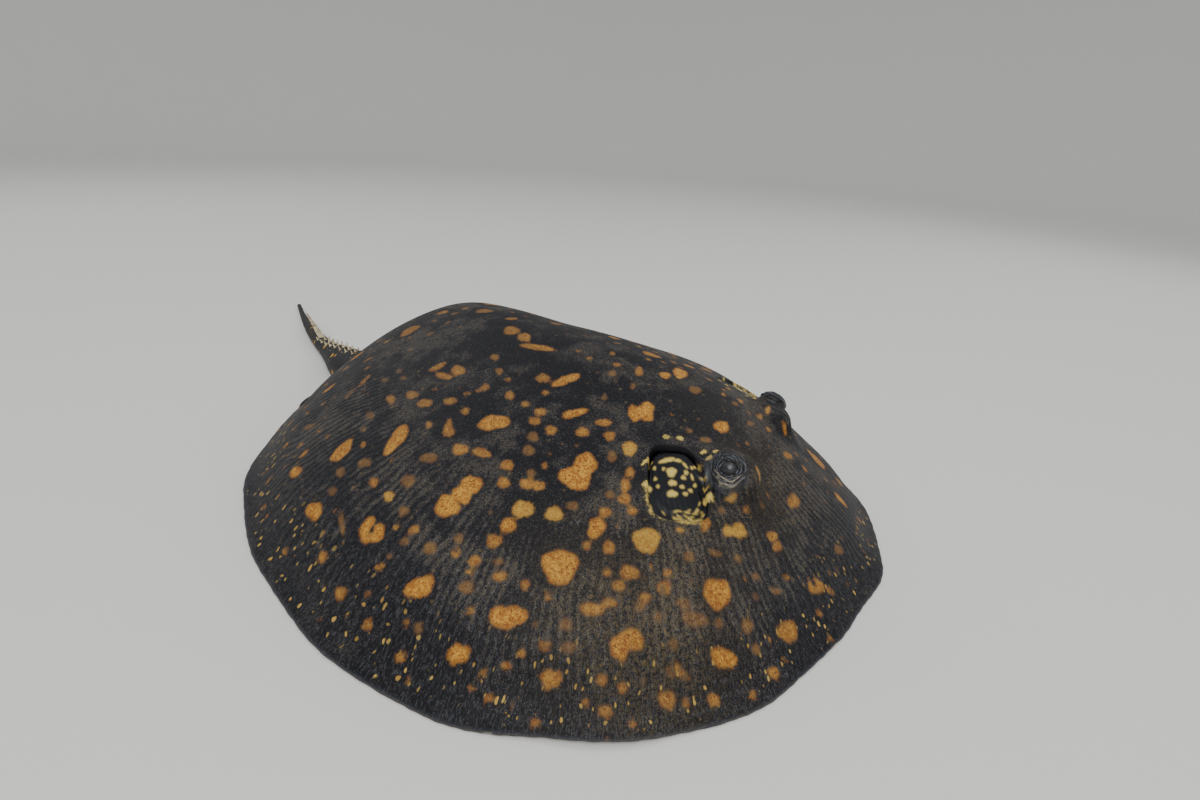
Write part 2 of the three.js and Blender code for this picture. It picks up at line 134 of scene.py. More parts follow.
@dataclass(frozen=True)
class DiscForm:
    """The round body that the pectoral fins make.

    A place on it is a turn, 0 at the snout and growing to the left, and a reach, 0 at the middle
    and 1 at the margin.
    """

    half_width: float = 280.0
    front: float = 250.0
    rear: float = 370.0
    widest_ahead: float = 60.0
    swells: tuple[TurnSwell, ...] = (
        TurnSwell(7.0, 0.0, 0.13),
        TurnSwell(6.0, 0.33, 0.2),
        TurnSwell(-20.0, 0.95, 0.42),
    )
    lifts: tuple[TurnSwell, ...] = (
        TurnSwell(14.0, 2.84, 0.45),
        TurnSwell(9.0, math.pi, 0.32),
        TurnSwell(2.4, -1.05, 0.2),
        TurnSwell(2.0, -2.3, 0.22),
    )
    rim: float = 4.6
    rim_fined: float = 2.0
    rim_round_from: float = 0.984
    rim_level: float = 0.35
    dome: float = 119.0
    dome_tilt: float = 0.2
    hump: Hump = Hump(37.0, 88.0, 195.0, 93.0, 124.0)
    head: Hump = Hump(13.0, 0.0, -185.0, 98.0, 72.0)
    ridge: float = 17.0
    ridge_wide: float = 90.0
    ridge_middle: float = 45.0
    ridge_half: float = 290.0
    clearance: float = 1.1
    hollow: float = 8.0
    pads: int = 9
    pad_depth: float = 5.6
    pad_reach: float = 0.86
    pad_spread: float = 0.13

    def margin_out(self, turn: Array) -> Array:
        """How far the margin stands out from a plain oval."""
        waves = 1.6 * np.sin(7 * turn + 0.6) + 0.96 * np.sin(17 * turn)
        return waves + sum(swell.at(turn) for swell in self.swells)

    def nicks(self, turn: Array) -> Array:
        """The small uneven nicks along the margin."""
        fine = np.sin(61 * turn + 1.3) * np.sin(23 * turn) + 0.6 * np.sin(149 * turn + 2 * np.sin(9 * turn))
        return 0.22 * fine

    def plan(self, turn: Array, reach: Array) -> tuple[Array, Array]:
        """The place seen from above.

        Args:
            turn: Turns in radians.
            reach: Reaches from 0 to 1.

        Returns:
            X and Y in millimetres.
        """
        ahead = np.cos(turn)
        span = np.where(ahead > 0, self.front, self.rear)
        swell = self.margin_out(turn) * reach**4
        x = np.sin(turn) * (self.half_width * reach + swell)
        return x, -self.widest_ahead - ahead * (span * reach + swell)

    def place_of(self, x: Array, y: Array) -> tuple[Array, Array]:
        """Turn and reach of points seen from above.

        Args:
            x: Millimetres to the left.
            y: Millimetres to the tail.

        Returns:
            Turns and reaches; a reach over 1 is outside the disc.
        """
        back = y + self.widest_ahead
        span = np.where(back < 0, self.front, self.rear)
        turn = np.arctan2(x / self.half_width, -back / span)
        reach = np.hypot(x / self.half_width, back / span)
        for _ in range(6):
            swell = self.margin_out(turn) * np.minimum(reach, 1.2) ** 4
            a = x / (self.half_width * reach + swell + 1e-6)
            b = -back / (span * reach + swell + 1e-6)
            turn = np.arctan2(a, b)
            reach = reach * np.hypot(a, b)
        return turn, reach

    def arch(self, x: Array, y: Array, reach: Array) -> Array:
        """The hump behind, to the left of the midline."""
        return self.hump.at(x, y) * (1 - np.minimum(reach, 1) ** 6)

    def lift(self, turn: Array, reach: Array) -> Array:
        """How far the margin stands clear of the floor."""
        return sum(place.at(turn) for place in self.lifts) * reach**4

    def back(self, turn: Array, reach: Array) -> Array:
        """Height of the back, before the rim is rounded.

        Args:
            turn: Turns.
            reach: Reaches from 0 to 1.

        Returns:
            Heights.
        """
        x, y = self.plan(turn, reach)
        profile = np.maximum(1 - reach**2.2, 0) ** 0.9 * (1 - 0.4 * smooth(0.86, 1, reach))
        dome = self.dome * profile * (1 - self.dome_tilt * reach * np.cos(turn))
        fore_and_aft = np.maximum(1 - ((y - self.ridge_middle) / self.ridge_half) ** 2, 0)
        ridge = self.ridge * bell(x, self.ridge_wide) * fore_and_aft
        head = self.head.at(x, y) * (1 - reach**4)
        return self.rim + dome + ridge + head + self.arch(x, y, reach) + self.lift(turn, reach)

    def sole(self, turn: Array, reach: Array) -> Array:
        """Height of the underside, before the rim is rounded.

        Args:
            turn: Turns.
            reach: Reaches from 0 to 1.

        Returns:
            Heights.
        """
        x, y = self.plan(turn, reach)
        hollow = self.hollow * np.maximum(1 - reach * reach, 0) ** 1.4
        ring = bell(reach - self.pad_reach, self.pad_spread)
        pads = self.pad_depth * (0.5 + 0.5 * np.cos(self.pads * turn + 0.4)) * ring
        level = self.clearance + hollow + 0.1 * self.arch(x, y, reach) + self.lift(turn, reach)
        return np.maximum(level - pads, 0)

    def rounded(self, turn: Array, reach: Array, upper: Array) -> Array:
        """Height of either side with the fine rounded rim between them.

        Args:
            turn: Turns.
            reach: Reaches.
            upper: True where the point is on the back, False on the underside.

        Returns:
            Heights in millimetres.
        """
        sole = self.sole(turn, reach)
        back = self.back(turn, reach) - self.rim_fined * smooth(0.9, 1.0, reach)
        rim = sole + self.rim_level * (back - sole)
        into = np.clip((reach - self.rim_round_from) / (1 - self.rim_round_from), 0, 1)
        share = np.sqrt(np.maximum(1 - into**2, 0))
        return np.where(upper, rim + (back - rim) * share, rim - (rim - sole) * share)


DISC = DiscForm()


def ripples(x: Array, y: Array) -> Array:
    """Slow unevenness of living flesh, in millimetres.

    Args:
        x: X of the points.
        y: Y of the points.

    Returns:
        Heights.
    """
    first = np.sin(x / 31 + 1.7 * np.sin(y / 67)) * np.sin(y / 43 + 0.6)
    second = np.sin((x + y) / 23 + 0.9) * np.sin((x - 1.3 * y) / 37 + 2.1)
    return 0.9 * first + 0.5 * second


@dataclass(frozen=True)
class EyeForm:
    """An eye on its brow, lids drawn in creased rings round a small opening. Left side."""

    centre: tuple[float, float, float] = (66.0, -194.0, 99.0)
    ball: float = 10.9
    look: tuple[float, float, float] = (0.74, -0.12, 0.62)
    brow_centre: tuple[float, float, float] = (55.0, -188.0, 88.0)
    brow_size: tuple[float, float, float] = (25.0, 29.0, 20.0)
    brow_fall: float = 2.2
    opening: float = 0.4
    lid: float = 3.0
    socket_depth: float = 3.4
    crease: float = 0.75
    crease_pitch: float = 0.31
    lid_end: float = 1.6
    lid_fades: tuple[float, float] = (1.1, 1.7)
    lid_far: tuple[float, float] = (19.0, 27.0)
    socket_far: float = 24.0
    rings_far: float = 40.0
    crest_half: float = 0.35
    ring_out: float = 13.0
    ring_round: float = 4.0

    def brow(self, points: Array, side: float) -> Array:
        """Height of the brow's top under or over each point.

        Args:
            points: Points in millimetres.
            side: 1 on the left, -1 on the right.

        Returns:
            Heights, falling steeply outside the brow.
        """
        cx, cy, cz = self.brow_centre
        a, b, c = self.brow_size
        out = np.hypot((points[:, 0] - side * cx) / a, (points[:, 1] - cy) / b)
        top = cz + c * np.sqrt(np.maximum(1 - out * out, 0))
        return np.where(out < 1, top, cz - self.brow_fall * a * (out - 1))

    def frame_of(self, points: Array, side: float) -> tuple[Array, Array, Array, Array]:
        """Points as seen from the middle of the eyeball.

        Args:
            points: Points in millimetres.
            side: 1 on the left, -1 on the right.

        Returns:
            Unit directions, distances, angles from the line of sight and angles round it.
        """
        centre = np.array((side * self.centre[0], self.centre[1], self.centre[2]))
        look = np.array((side * self.look[0], self.look[1], self.look[2]))
        look /= np.linalg.norm(look)
        level = np.cross((0.0, 0.0, 1.0), look)
        level /= np.linalg.norm(level)
        rise = np.cross(look, level)
        arm = points - centre
        far = np.linalg.norm(arm, axis=1) + 1e-9
        way = arm / far[:, None]
        angle = np.arccos(np.clip(way @ look, -1, 1))
        return way, far, angle, np.arctan2(way @ rise, way @ level)

    def dressed(self, points: Array, side: float) -> Array:
        """Draws the skin round the eyeball into creased lids.

        Args:
            points: Skin points in millimetres.
            side: 1 on the left, -1 on the right.

        Returns:
            The moved points.
        """
        way, far, angle, bearing = self.frame_of(points, side)
        opening = self.opening * (1 + 0.2 * np.cos(2 * bearing) + 0.05 * np.cos(5 * bearing + 1))
        past = angle - opening
        wobble = 0.07 * np.sin(3 * bearing + 2) + 0.04 * np.sin(7 * bearing)
        creases = np.cos(2 * math.pi * (past + wobble) / self.crease_pitch)
        fade = 1 - smooth(0.6, 1.05, past)
        lid = self.ball + self.lid + self.crease * creases * fade * smooth(0.02, 0.12, past)
        lid = lid + 0.4 * bell(past - 0.1, 0.08) - 1.2 * bell(past, 0.25)
        socket = self.ball - self.socket_depth
        aim = socket + (lid - socket) * smooth(-0.02, 0.1, past)
        hold = (1 - smooth(self.lid_end - 0.5, self.lid_end, angle)) * (1 - smooth(20, 31, far))
        return points + way * ((aim - far) * hold)[:, None]

    def notes(self, points: Array, side: float) -> dict[str, Array]:
        """How far each point is lid, open socket or the crest of a fold, by name.

        Args:
            points: Points in millimetres.
            side: 1 on the left, -1 on the right.

        Returns:
            Numbers from 0 to 1.
        """
        _, far, angle, _ = self.frame_of(points, side)
        crest = smooth(-self.crest_half, self.crest_half, far - self.ball - self.lid)
        return {
            "lid": (1 - smooth(*self.lid_fades, angle)) * (1 - smooth(*self.lid_far, far)),
            "socket": (1 - smooth(self.opening, self.opening + 0.12, angle)) * (far < self.socket_far),
            "fold": crest * (far < self.lid_far[0]),
        }

    def ringed(self, points: Array, side: float) -> tuple[Array, Array]:
        """Places on which the lids' rings are drawn, and which points are near enough to have one.

        Args:
            points: Points in millimetres.
            side: 1 on the left, -1 on the right.

        Returns:
            The places, and true or false for each point.
        """
        _, far, angle, bearing = self.frame_of(points, side)
        turned = self.ring_round * np.cos(bearing), self.ring_round * np.sin(bearing)
        return np.stack([angle * self.ring_out, *turned], axis=1), far < self.rings_far


@dataclass(frozen=True)
class SpiracleForm:
    """The breathing hole behind an eye, with the valve that bulges inside it. Left side."""

    centre: tuple[float, float] = (96.0, -164.0)
    half_long: float = 27.5
    half_wide: float = 21.0
    lean: float = -0.55
    flare: float = 0.13
    power: float = 3.6
    valve_edge: float = 3.2
    valve_bulge: float = 2.6
    gap_depth: float = 9.0
    lip: float = 1.2
    above: float = 40.0

    def frame_of(self, points: Array, side: float) -> tuple[Array, Array]:
        """Reach from the hole's middle, 1 on its edge, and angle round it, 0 on the outer side.

        Args:
            points: Points in millimetres.
            side: 1 on the left, -1 on the right.

        Returns:
            Reaches and angles; an angle grows towards the tail.
        """
        dx = side * points[:, 0] - self.centre[0]
        dy = points[:, 1] - self.centre[1]
        long = dx * math.cos(self.lean) + dy * math.sin(self.lean)
        wide = dy * math.cos(self.lean) - dx * math.sin(self.lean)
        a = long / self.half_long
        b = wide / (self.half_wide * (1 + self.flare * np.clip(a, -1.2, 1.2)))
        reach = (np.abs(a) ** self.power + np.abs(b) ** self.power) ** (1 / self.power)
        return reach, np.arctan2(b, a)

    def place(self, angle: float, reach: float) -> tuple[float, float]:
        """X and Y on the left at an angle and a reach.

        Args:
            angle: Angle round the hole, in radians.
            reach: Reach from its middle.

        Returns:
            X and Y.
        """
        a, b = math.cos(angle), math.sin(angle)
        size = reach / (abs(a) ** self.power + abs(b) ** self.power) ** (1 / self.power)
        long = a * size * self.half_long
        wide = b * size * self.half_wide * (1 + self.flare * a * size)
        x = self.centre[0] + long * math.cos(self.lean) - wide * math.sin(self.lean)
        return x, self.centre[1] + long * math.sin(self.lean) + wide * math.cos(self.lean)

    def gap(self, reach: Array, angle: Array) -> Array:
        """How much a point is in the dark gap round the valve's free edge.

        Args:
            reach: Reaches.
            angle: Angles.

        Returns:
            Numbers from 0 to 1.
        """
        share = np.clip(0.42 - 0.72 * np.cos(angle) - 0.12 * np.sin(angle), 0, 1)
        inner = 0.97 - 0.06 * share
        return share * smooth(inner - 0.03, inner + 0.03, reach) * (1 - smooth(0.96, 1.0, reach))

    def notes(self, points: Array, side: float) -> dict[str, Array]:
        """How far each point is in the hole and in its dark gap, by name.

        Args:
            points: Points in millimetres.
            side: 1 on the left, -1 on the right.

        Returns:
            Numbers from 0 to 1.
        """
        reach, angle = self.frame_of(points, side)
        above = points[:, 2] > self.above
        return {"hole": (1 - smooth(0.97, 1.06, reach)) * above, "gap": self.gap(reach, angle) * above}

    def sunk(self, points: Array, side: float) -> Array:
        """How far the skin stands above (+) or below (-) the plain head here, in millimetres.

        Args:
            points: Points in millimetres.
            side: 1 on the left, -1 on the right.

        Returns:
            Heights.
        """
        reach, angle = self.frame_of(points, side)
        inside = 1 - smooth(0.93, 1.03, reach)
        folds = 0.35 * np.cos(reach * 26 + 1.5 * np.sin(2 * angle)) * smooth(0.45, 0.9, reach)
        valve = -self.valve_edge + self.valve_bulge * np.maximum(1 - reach**2, 0) + folds
        thick = 1 + 0.9 * bell(turn_gap(angle, -0.65), 0.5) + 0.5 * bell(turn_gap(angle, 1.9), 0.5)
        lip = self.lip * thick * bell(reach - 1.07, 0.09)
        return inside * (valve - self.gap_depth * self.gap(reach, angle)) + lip


EYE = EyeForm()
SPIRACLE = SpiracleForm()
SIDES = (1.0, -1.0)


@dataclass(frozen=True)
class TailForm:
    """The tail: stout at its root, swung to the left and laid on the floor."""

    root_y: float = 215.0
    length: float = 500.0
    stations: int = 130
    around: int = 36
    flat_below: float = 0.84
    root_turn: float = 0.34
    bends: tuple[float, float] = (0.1, 0.14)
    root_wide: float = 78.0
    shaft_wide: float = 27.0
    tip_wide: float = 4.6
    root_tall: float = 52.0
    shaft_tall: float = 22.0
    tip_tall: float = 4.0
    root_lift: float = 13.0

    def heading(self, along: Array) -> Array:
        """Direction seen from above, 0 straight back."""
        near_root, near_tip = self.bends
        return self.root_turn + near_root * smooth(0.05, 0.4, along) + near_tip * smooth(0.4, 1, along)

    def path(self, along: Array) -> tuple[Array, Array]:
        """X and Y of the tail's middle line at each along, 0 at the root and 1 at the tip.

        Args:
            along: Places from 0 to 1.

        Returns:
            X and Y in millimetres.
        """
        fine = np.linspace(0, 1, 801)
        step = self.length / 800
        way = self.heading(fine)
        x = np.concatenate([[0], np.cumsum(np.sin(way[:-1]) * step)])
        y = np.concatenate([[0], np.cumsum(np.cos(way[:-1]) * step)])
        return np.interp(along, fine, x), self.root_y + np.interp(along, fine, y)

    def width(self, along: Array) -> Array:
        """Width at each along.

        Args:
            along: Places from 0 to 1.

        Returns:
            Widths in millimetres.
        """
        root = self.root_wide * (1 - smooth(-0.1, 0.5, along))
        shaft = self.shaft_wide * (1 - 0.75 * smooth(0.35, 1, along)) * smooth(0, 0.3, along)
        return np.maximum(root + shaft, self.tip_wide)

    def height(self, along: Array) -> Array:
        """Height at each along.

        Args:
            along: Places from 0 to 1.

        Returns:
            Heights in millimetres.
        """
        root = self.root_tall * (1 - smooth(-0.05, 0.55, along))
        shaft = self.shaft_tall * (1 - 0.72 * smooth(0.35, 1, along)) * smooth(0, 0.35, along)
        return np.maximum(root + shaft, self.tip_tall)

    def floor(self, along: Array) -> Array:
        """Height of the tail's underside."""
        return self.root_lift * (1 - smooth(0.05, 0.3, along))

    def point(self, along: Array, angle: Array, out: Array | float = 0.0) -> Array:
        """Points on the tail's skin.

        Args:
            along: Places from 0 to 1.
            angle: Angles round the tail, 0 on its left and a quarter turn on top.
            out: Millimetres outwards from the skin.

        Returns:
            An array of points.
        """
        x, y = self.path(along)
        way = self.heading(along)
        half = self.width(along) / 2 + out
        tall = self.height(along)
        rise = np.maximum(np.sin(angle), -self.flat_below) + self.flat_below
        across = half * np.cos(angle)
        z = self.floor(along) + tall * rise / (1 + self.flat_below) + out * np.maximum(np.sin(angle), 0)
        return np.stack([x + across * np.cos(way), y - across * np.sin(way), z], axis=1)

    def near(self, points: Array) -> tuple[Array, Array]:
        """Nearest place along the tail's middle line, and the distance to the left of it.

        Args:
            points: Points in millimetres.

        Returns:
            Places from 0 to 1, and distances.
        """
        fine = np.linspace(0, 1, 101)
        x, y = self.path(fine)
        gap = (points[:, None, 0] - x) ** 2 + (points[:, None, 1] - y) ** 2
        best = np.argmin(gap, axis=1)
        way = self.heading(fine[best])
        side = (points[:, 0] - x[best]) * np.cos(way) - (points[:, 1] - y[best]) * np.sin(way)
        return fine[best], side


TAIL = TailForm()


# ---------------------------------------------------------------- markings


class Tone(Enum):
    """Colours that a spot can have, as its place between orange and cream."""

    ORANGE = 0.0
    YELLOW = 0.5
    CREAM = 1.0


@dataclass(frozen=True)
class Sight:
    """The place that the chart's spots were laid out from: they're as long and as wide as seen from it."""

    place: tuple[float, float, float] = (-456.0, -275.0, 329.0)
    up: float = 1.15
    least: float = 0.45

    def axes(self, x: float, y: float) -> Array:
        """How a small step over the back looks from the place.

        Args:
            x: X of the step's start.
            y: Y of the step's start.

        Returns:
            Two rows, across and up, by two columns, for steps along X and Y.
        """
        xs, ys = np.array([x, x + 1, x]), np.array([y, y, y + 1])
        turn, reach = DISC.place_of(xs, ys)
        points = np.stack([xs, ys, DISC.back(turn, np.minimum(reach, 1))], axis=1)
        way = points[0] - np.array(self.place)
        way /= np.linalg.norm(way)
        aside = np.cross(way, (0.0, 0.0, 1.0))
        aside /= np.linalg.norm(aside)
        steps = (points[1:] - points[0]).T
        left, sizes, right = np.linalg.svd(np.stack([aside, np.cross(aside, way)]) @ steps)
        sizes = np.maximum(sizes, self.least * sizes[0])
        return np.diag([1.0, 1 / self.up]) @ left @ np.diag(sizes) @ right


@dataclass(frozen=True)
class Spot:
    """An oval marking, in millimetres: seen from above with its long side at turn degrees, or by axes."""

    x: float
    y: float
    long: float
    wide: float
    turn: float = 0.0
    tone: Tone = Tone.ORANGE
    dim: float = 0.0
    ragged: float = 0.08
    axes: Array | None = None

    def gap(self, x: Array, y: Array, phase: float) -> Array:
        """Distance outside (+) or inside (-) the spot's uneven edge.

        Args:
            x: X of points.
            y: Y of points.
            phase: A number of the spot's own that shapes its edge.

        Returns:
            Signed distances in millimetres.
        """
        way = math.radians(self.turn)
        axes = self.axes
        if axes is None:
            axes = np.array([[math.cos(way), math.sin(way)], [-math.sin(way), math.cos(way)]])
        a, b = axes @ np.stack([x - self.x, y - self.y])
        bearing = np.arctan2(b, a)
        uneven = 1 + self.ragged * (np.sin(3 * bearing + phase) + 0.7 * np.sin(5 * bearing + 2.3 * phase))
        first, second = self.long / 2 * uneven, self.wide / 2 * uneven
        near = np.hypot(a / first, b / second)
        steep = np.linalg.norm(axes.T @ np.stack([a / first**2, b / second**2]), axis=0) + 1e-6
        return near * (near - 1) / steep

    def mirrored(self) -> "Spot":
        """The same spot on the animal's other side."""
        axes = None if self.axes is None else self.axes * (-1, 1)
        return replace(self, x=-self.x, turn=180 - self.turn, axes=axes)


SIGHT = Sight()


def spots(tone: Tone, dim: float, size: float, rows: Rows) -> list[Spot]:
    """Spots of one tone from rows of x, y, length and, where it isn't round, width and turn.

    Args:
        tone: The tone of them all.
        dim: How far dust and skin colour hide them, from 0 to 1.
        size: A number that all lengths and widths are multiplied by.
        rows: The rows; a spot without a turn of its own is as SIGHT sees it.

    Returns:
        The spots.
    """
    made = []
    for x, y, long, *rest in rows:
        wide = rest[0] if rest else long
        axes = None if len(rest) > 1 else SIGHT.axes(x, y)
        turn = rest[1] if len(rest) > 1 else 0.0
        made.append(Spot(x, y, long * size, wide * size, turn, tone, dim, axes=axes))
    return made


@dataclass(frozen=True)
class SpotChart:
    """The animal's own spots: those on its right and over its head."""

    large: Rows = (
        (-190, -123, 26, 21), (-119, -18, 29, 17, -67), (-121, -102, 19, 16), (-134, -102, 26, 18),
        (-60, -113, 15, 13), (-50, -118, 12, 9), (-57, -121, 13, 11), (-142, -216, 20, 19),
        (-171, -37, 17, 13), (-189, -30, 19, 15), (-179, -35, 16, 13), (-153, 51, 33, 17, 14),
        (-169, 98, 23, 19, 12), (-217, 16, 19, 17), (-235, -45, 23, 13, -64), (-227, -108, 27, 13),
        (-252, -89, 16, 11), (-198, -180, 19, 12), (-205, -176, 14, 14), (-168, -232, 19, 11),
        (-185, -79, 12, 10), (-158, -132, 17, 12, 0), (-214, 81, 13, 13), (-86, -71, 24, 9, -42),
        (-56, -46, 31, 12, -30), (-25, -174, 14, 9), (-74, 77, 19, 10, -35), (-75, 53, 14, 9),
        (-84, 62, 24, 8, 80), (1, -112, 11, 6), (20, -119, 15, 13), (-7, 44, 17, 9), (-14, 24, 14, 8),
        (-24, 3, 38, 11, -78), (-187, 136, 12, 10),
    )
    middle: Rows = (
        (-62, -27, 16, 9), (-51, 31, 10, 7), (-67, 14, 9, 7), (-88, 13, 9, 7), (-90, -13, 10, 9),
        (-74, 0, 8, 5), (-77, -39, 8, 5), (-94, -31, 10, 5), (-96, -47, 14, 6), (-106, -48, 13, 7),
        (-108, -64, 12, 8), (-98, -86, 14, 8), (-82, -96, 17, 6), (-91, -106, 12, 8),
        (-121, -135, 9, 12), (-110, -133, 9), (-130, -139, 13, 8), (-146, -132, 12, 8),
        (-134, -147, 10, 7), (-148, -52, 13, 9), (-155, -74, 14, 9), (-153, -82, 14, 8),
        (-161, -58, 12, 9), (-137, -77, 6), (-146, -27, 22, 9, 90), (-149, -9, 16, 10), (-10, -92, 9),
        (4, -59, 7, 5), (-14, -72, 9, 4), (-11, -32, 7, 3), (-18, -47, 8, 3), (34, -173, 8, 6),
        (49, -157, 7, 5), (21, -160, 6, 4), (32, -192, 7, 6), (24, -203, 7, 6), (14, -224, 12, 7),
        (-76, -214, 7, 3.5), (-63, -222, 5, 2.8), (-110, -193, 10, 11), (-26, -240, 13),
        (-119, -263, 17, 16), (-206, -210, 14, 11), (-188, -234, 10, 8), (-169, -254, 6),
        (-148, -262, 10, 8), (-231, -181, 12, 7), (-199, -152, 21, 9), (-190, -160, 13, 6),
        (-179, -161, 12, 8), (-175, -178, 10, 7), (-169, -163, 17, 10), (-177, -151, 8, 6),
        (-163, -186, 12, 10), (-154, -184, 8, 6), (-164, -145, 11, 10), (-171, -132, 8, 6),
        (-90, -252, 6, 5), (-73, -272, 16, 13), (-63, -282, 10, 4), (-86, -279, 6, 5),
        (-73, -235, 10, 8), (-76, -240, 9, 8), (-227, -197, 6, 4.5), (-222, -173, 9, 7),
        (-218, -185, 8, 7), (-254, -147, 8, 5), (-241, -188, 3.5), (-234, -169, 5), (-191, -209, 6),
        (-191, -214, 10, 5), (-200, -220, 6), (-135, -266, 5, 3), (-93, -290, 5, 4), (-208, 155, 8, 5),
        (-236, 91, 7, 6), (-237, 47, 10, 9), (-251, 13, 11, 10), (-264, -53, 10, 7), (-259, -20, 9, 8),
        (-234, -8, 9, 6), (-248, -10, 5, 5), (-209, -17, 10, 7), (-212, -56, 9, 6), (-197, -76, 14, 10),
        (-211, -71, 11, 8), (-212, -92, 13, 7), (-209, -109, 8, 7), (-207, -125, 7, 5),
        (-234, -85, 7, 5), (-252, -47, 7, 5), (-252, -108, 7, 5), (-244, -119, 9, 5),
        (-236, -125, 7, 5), (-227, -136, 11, 6), (-236, -146, 17, 12), (-258, -117, 8, 5),
        (-259, -105, 6, 3), (-116, 94, 10, 9), (-109, 76, 14, 8), (-116, 55, 17, 8), (-100, 58, 6, 4),
        (-110, 33, 15, 7), (-99, 24, 8, 4), (-93, 16, 8, 4), (-116, 12, 9, 7), (-136, 33, 7),
        (-137, 12, 12, 11), (-130, 17, 6, 8), (-189, 41, 9, 8), (-162, 80, 6), (-92, 152, 24, 9, 10),
        (44, -196, 7, 6),
    )
    yellow: Rows = (
        (-93, -124, 14, 12), (-172, -82, 20, 13), (-165, -103, 16, 11), (-145, -164, 24, 19),
        (-100, -208, 11, 9), (-93, -214, 14, 12), (-53, -213, 10, 4, 40), (-79, -202, 9, 4),
        (-125, -180, 7, 3.5), (-211, -2, 6, 5), (-217, -72, 7, 4), (-195, 20, 10, 8),
    )
    dusty: Rows = (
        (-106, -116, 9), (-133, -129, 10, 6), (-154, -111, 12, 7), (-147, -72, 8), (-131, -59, 12, 9),
        (-119, -55, 12, 8), (-1, -141, 14, 7), (44, -44, 12, 5), (-28, -75, 9, 6), (-59, -84, 7, 5),
        (-33, -97, 6), (-51, -155, 8, 4), (-49, -169, 12, 5), (19, -172, 8, 5), (7, -190, 8, 5),
        (-91, -199, 6), (-136, -192, 10, 8), (-121, -206, 12, 5), (-111, -220, 8, 6),
        (-110, -234, 7, 5), (-122, -238, 5), (-106, -248, 9, 5), (-23, -281, 10, 8), (-181, -177, 9, 7),
        (-162, -200, 11, 7), (-165, -209, 22, 10), (-148, -248, 7), (-184, -203, 8), (-195, -207, 9, 7),
        (-143, -239, 10), (-156, -223, 7), (-179, -189, 7), (-217, 47, 5, 18), (-227, -11, 7, 4),
        (-215, -36, 12, 9), (-217, -15, 9, 6), (-204, -52, 8), (-206, -86, 8, 5), (-213, -142, 11, 8),
        (-225, -75, 13, 9), (-251, -57, 8), (-221, -149, 12, 7), (-108, 154, 20, 9, 10),
        (-156, 131, 8, 5), (-142, 173, 14, 6), (-134, 101, 9, 8), (-162, 10, 18, 8), (-182, 13, 13, 10),
        (-148, 95, 8, 5), (-177, 63, 14, 8), (-186, 81, 9), (-200, 75, 8), (-201, 0, 10, 8),
        (-51, 131, 8, 4), (-94, 123, 10, 5), (-83, 116, 8, 5), (-91, 103, 8, 5),
    )
    spiracle: Rows = (
        (-84, -151, 15, 4, -40), (-79, -158, 7, 3, -60), (-91, -158, 8, 7), (-98, -162, 7, 4),
        (-105, -165, 9, 5, -50), (-95, -146, 2.5), (-92, -152, 2.5), (-102, -150, 2.5),
        (-106, -154, 2.5), (-79, -164, 6, 2.5, 70), (-84, -167, 3.5), (-89, -167, 4, 3),
        (-96, -169, 4, 2.5), (-99, -173, 4, 2.5), (-84, -172, 5, 2, 40), (-88, -176, 2.5),
        (-94, -175, 3.5, 2.5), (-77, -169, 3), (-68, -143, 5, 3), (-62, -152, 5, 3),
        (-95, -140, 11, 3, -27), (-112, -148, 8, 5), (-74, -172, 7, 3, -75), (-79, -179, 7, 3, -50),
        (-84, -184, 6, 3, -40), (-91, -188, 8, 6), (-62, -172, 5, 3), (-66, -178, 4, 3),
        (-58, -180, 4, 2.5),
    )
    notches: Rows = (
        (-211, 16, 5), (-217, 16, 4), (-165, -186, 3), (-73, -270, 4.5), (-24, -235, 5), (-125, -88, 9),
        (-52, -109, 5),
    )
    strokes: int = 64
    stroke_long: float = 4.0
    stroke_wide: float = 1.05
    crowd_at: float = -0.3
    crowd_spread: float = 0.38
    sparse: tuple[float, float] = (-0.6, 1.5)

    def fringe(self) -> list[Spot]:
        """Cream strokes crowded along the outer and front edge of the breathing hole.

        Returns:
            The strokes.
        """
        made: list[Spot] = []
        rng = np.random.default_rng(3)
        for index in range(self.strokes):
            if index % 2:
                angle, reach = self.crowd_at + self.crowd_spread * rng.normal(), rng.uniform(0.66, 1.0)
            else:
                angle, reach = rng.uniform(*self.sparse), rng.uniform(0.97, 1.1)
            x, y = SPIRACLE.place(angle, reach)
            ahead = SPIRACLE.place(angle + 0.1, reach)
            along = math.degrees(math.atan2(ahead[1] - y, ahead[0] - x)) + rng.uniform(-25, 25)
            size = rng.uniform(0.55, 1.15)
            long, wide = self.stroke_long * size, self.stroke_wide * size
            made.append(Spot(-x, y, long, wide, 180 - along, Tone.CREAM))
        return made

    def valve(self) -> list[Spot]:
        """The spots in and round the breathing hole, on both sides."""
        right = spots(Tone.CREAM, 0.0, 0.9, self.spiracle) + self.fringe()
        return right + [spot.mirrored() for spot in right]

    def skin(self) -> list[Spot]:
        """The spots of the open skin.

        Returns:
            The spots.
        """
        made = spots(Tone.ORANGE, 0.0, 0.9, self.large) + spots(Tone.ORANGE, 0.25, 0.78, self.middle)
        made += spots(Tone.YELLOW, 0.12, 0.78, self.yellow) + spots(Tone.ORANGE, 0.7, 0.8, self.dusty)
        return made


@dataclass(frozen=True)
class Patch:
    """A soft-edged oval area of the back, in millimetres."""

    x: float
    y: float
    half_wide: float
    half_long: float
    strength: float

    def at(self, x: Array, y: Array) -> Array:
        """How strong it is at points seen from above."""
        far = np.hypot((x - self.x) / self.half_wide, (y - self.y) / self.half_long)
        return self.strength * bell(far, 1)


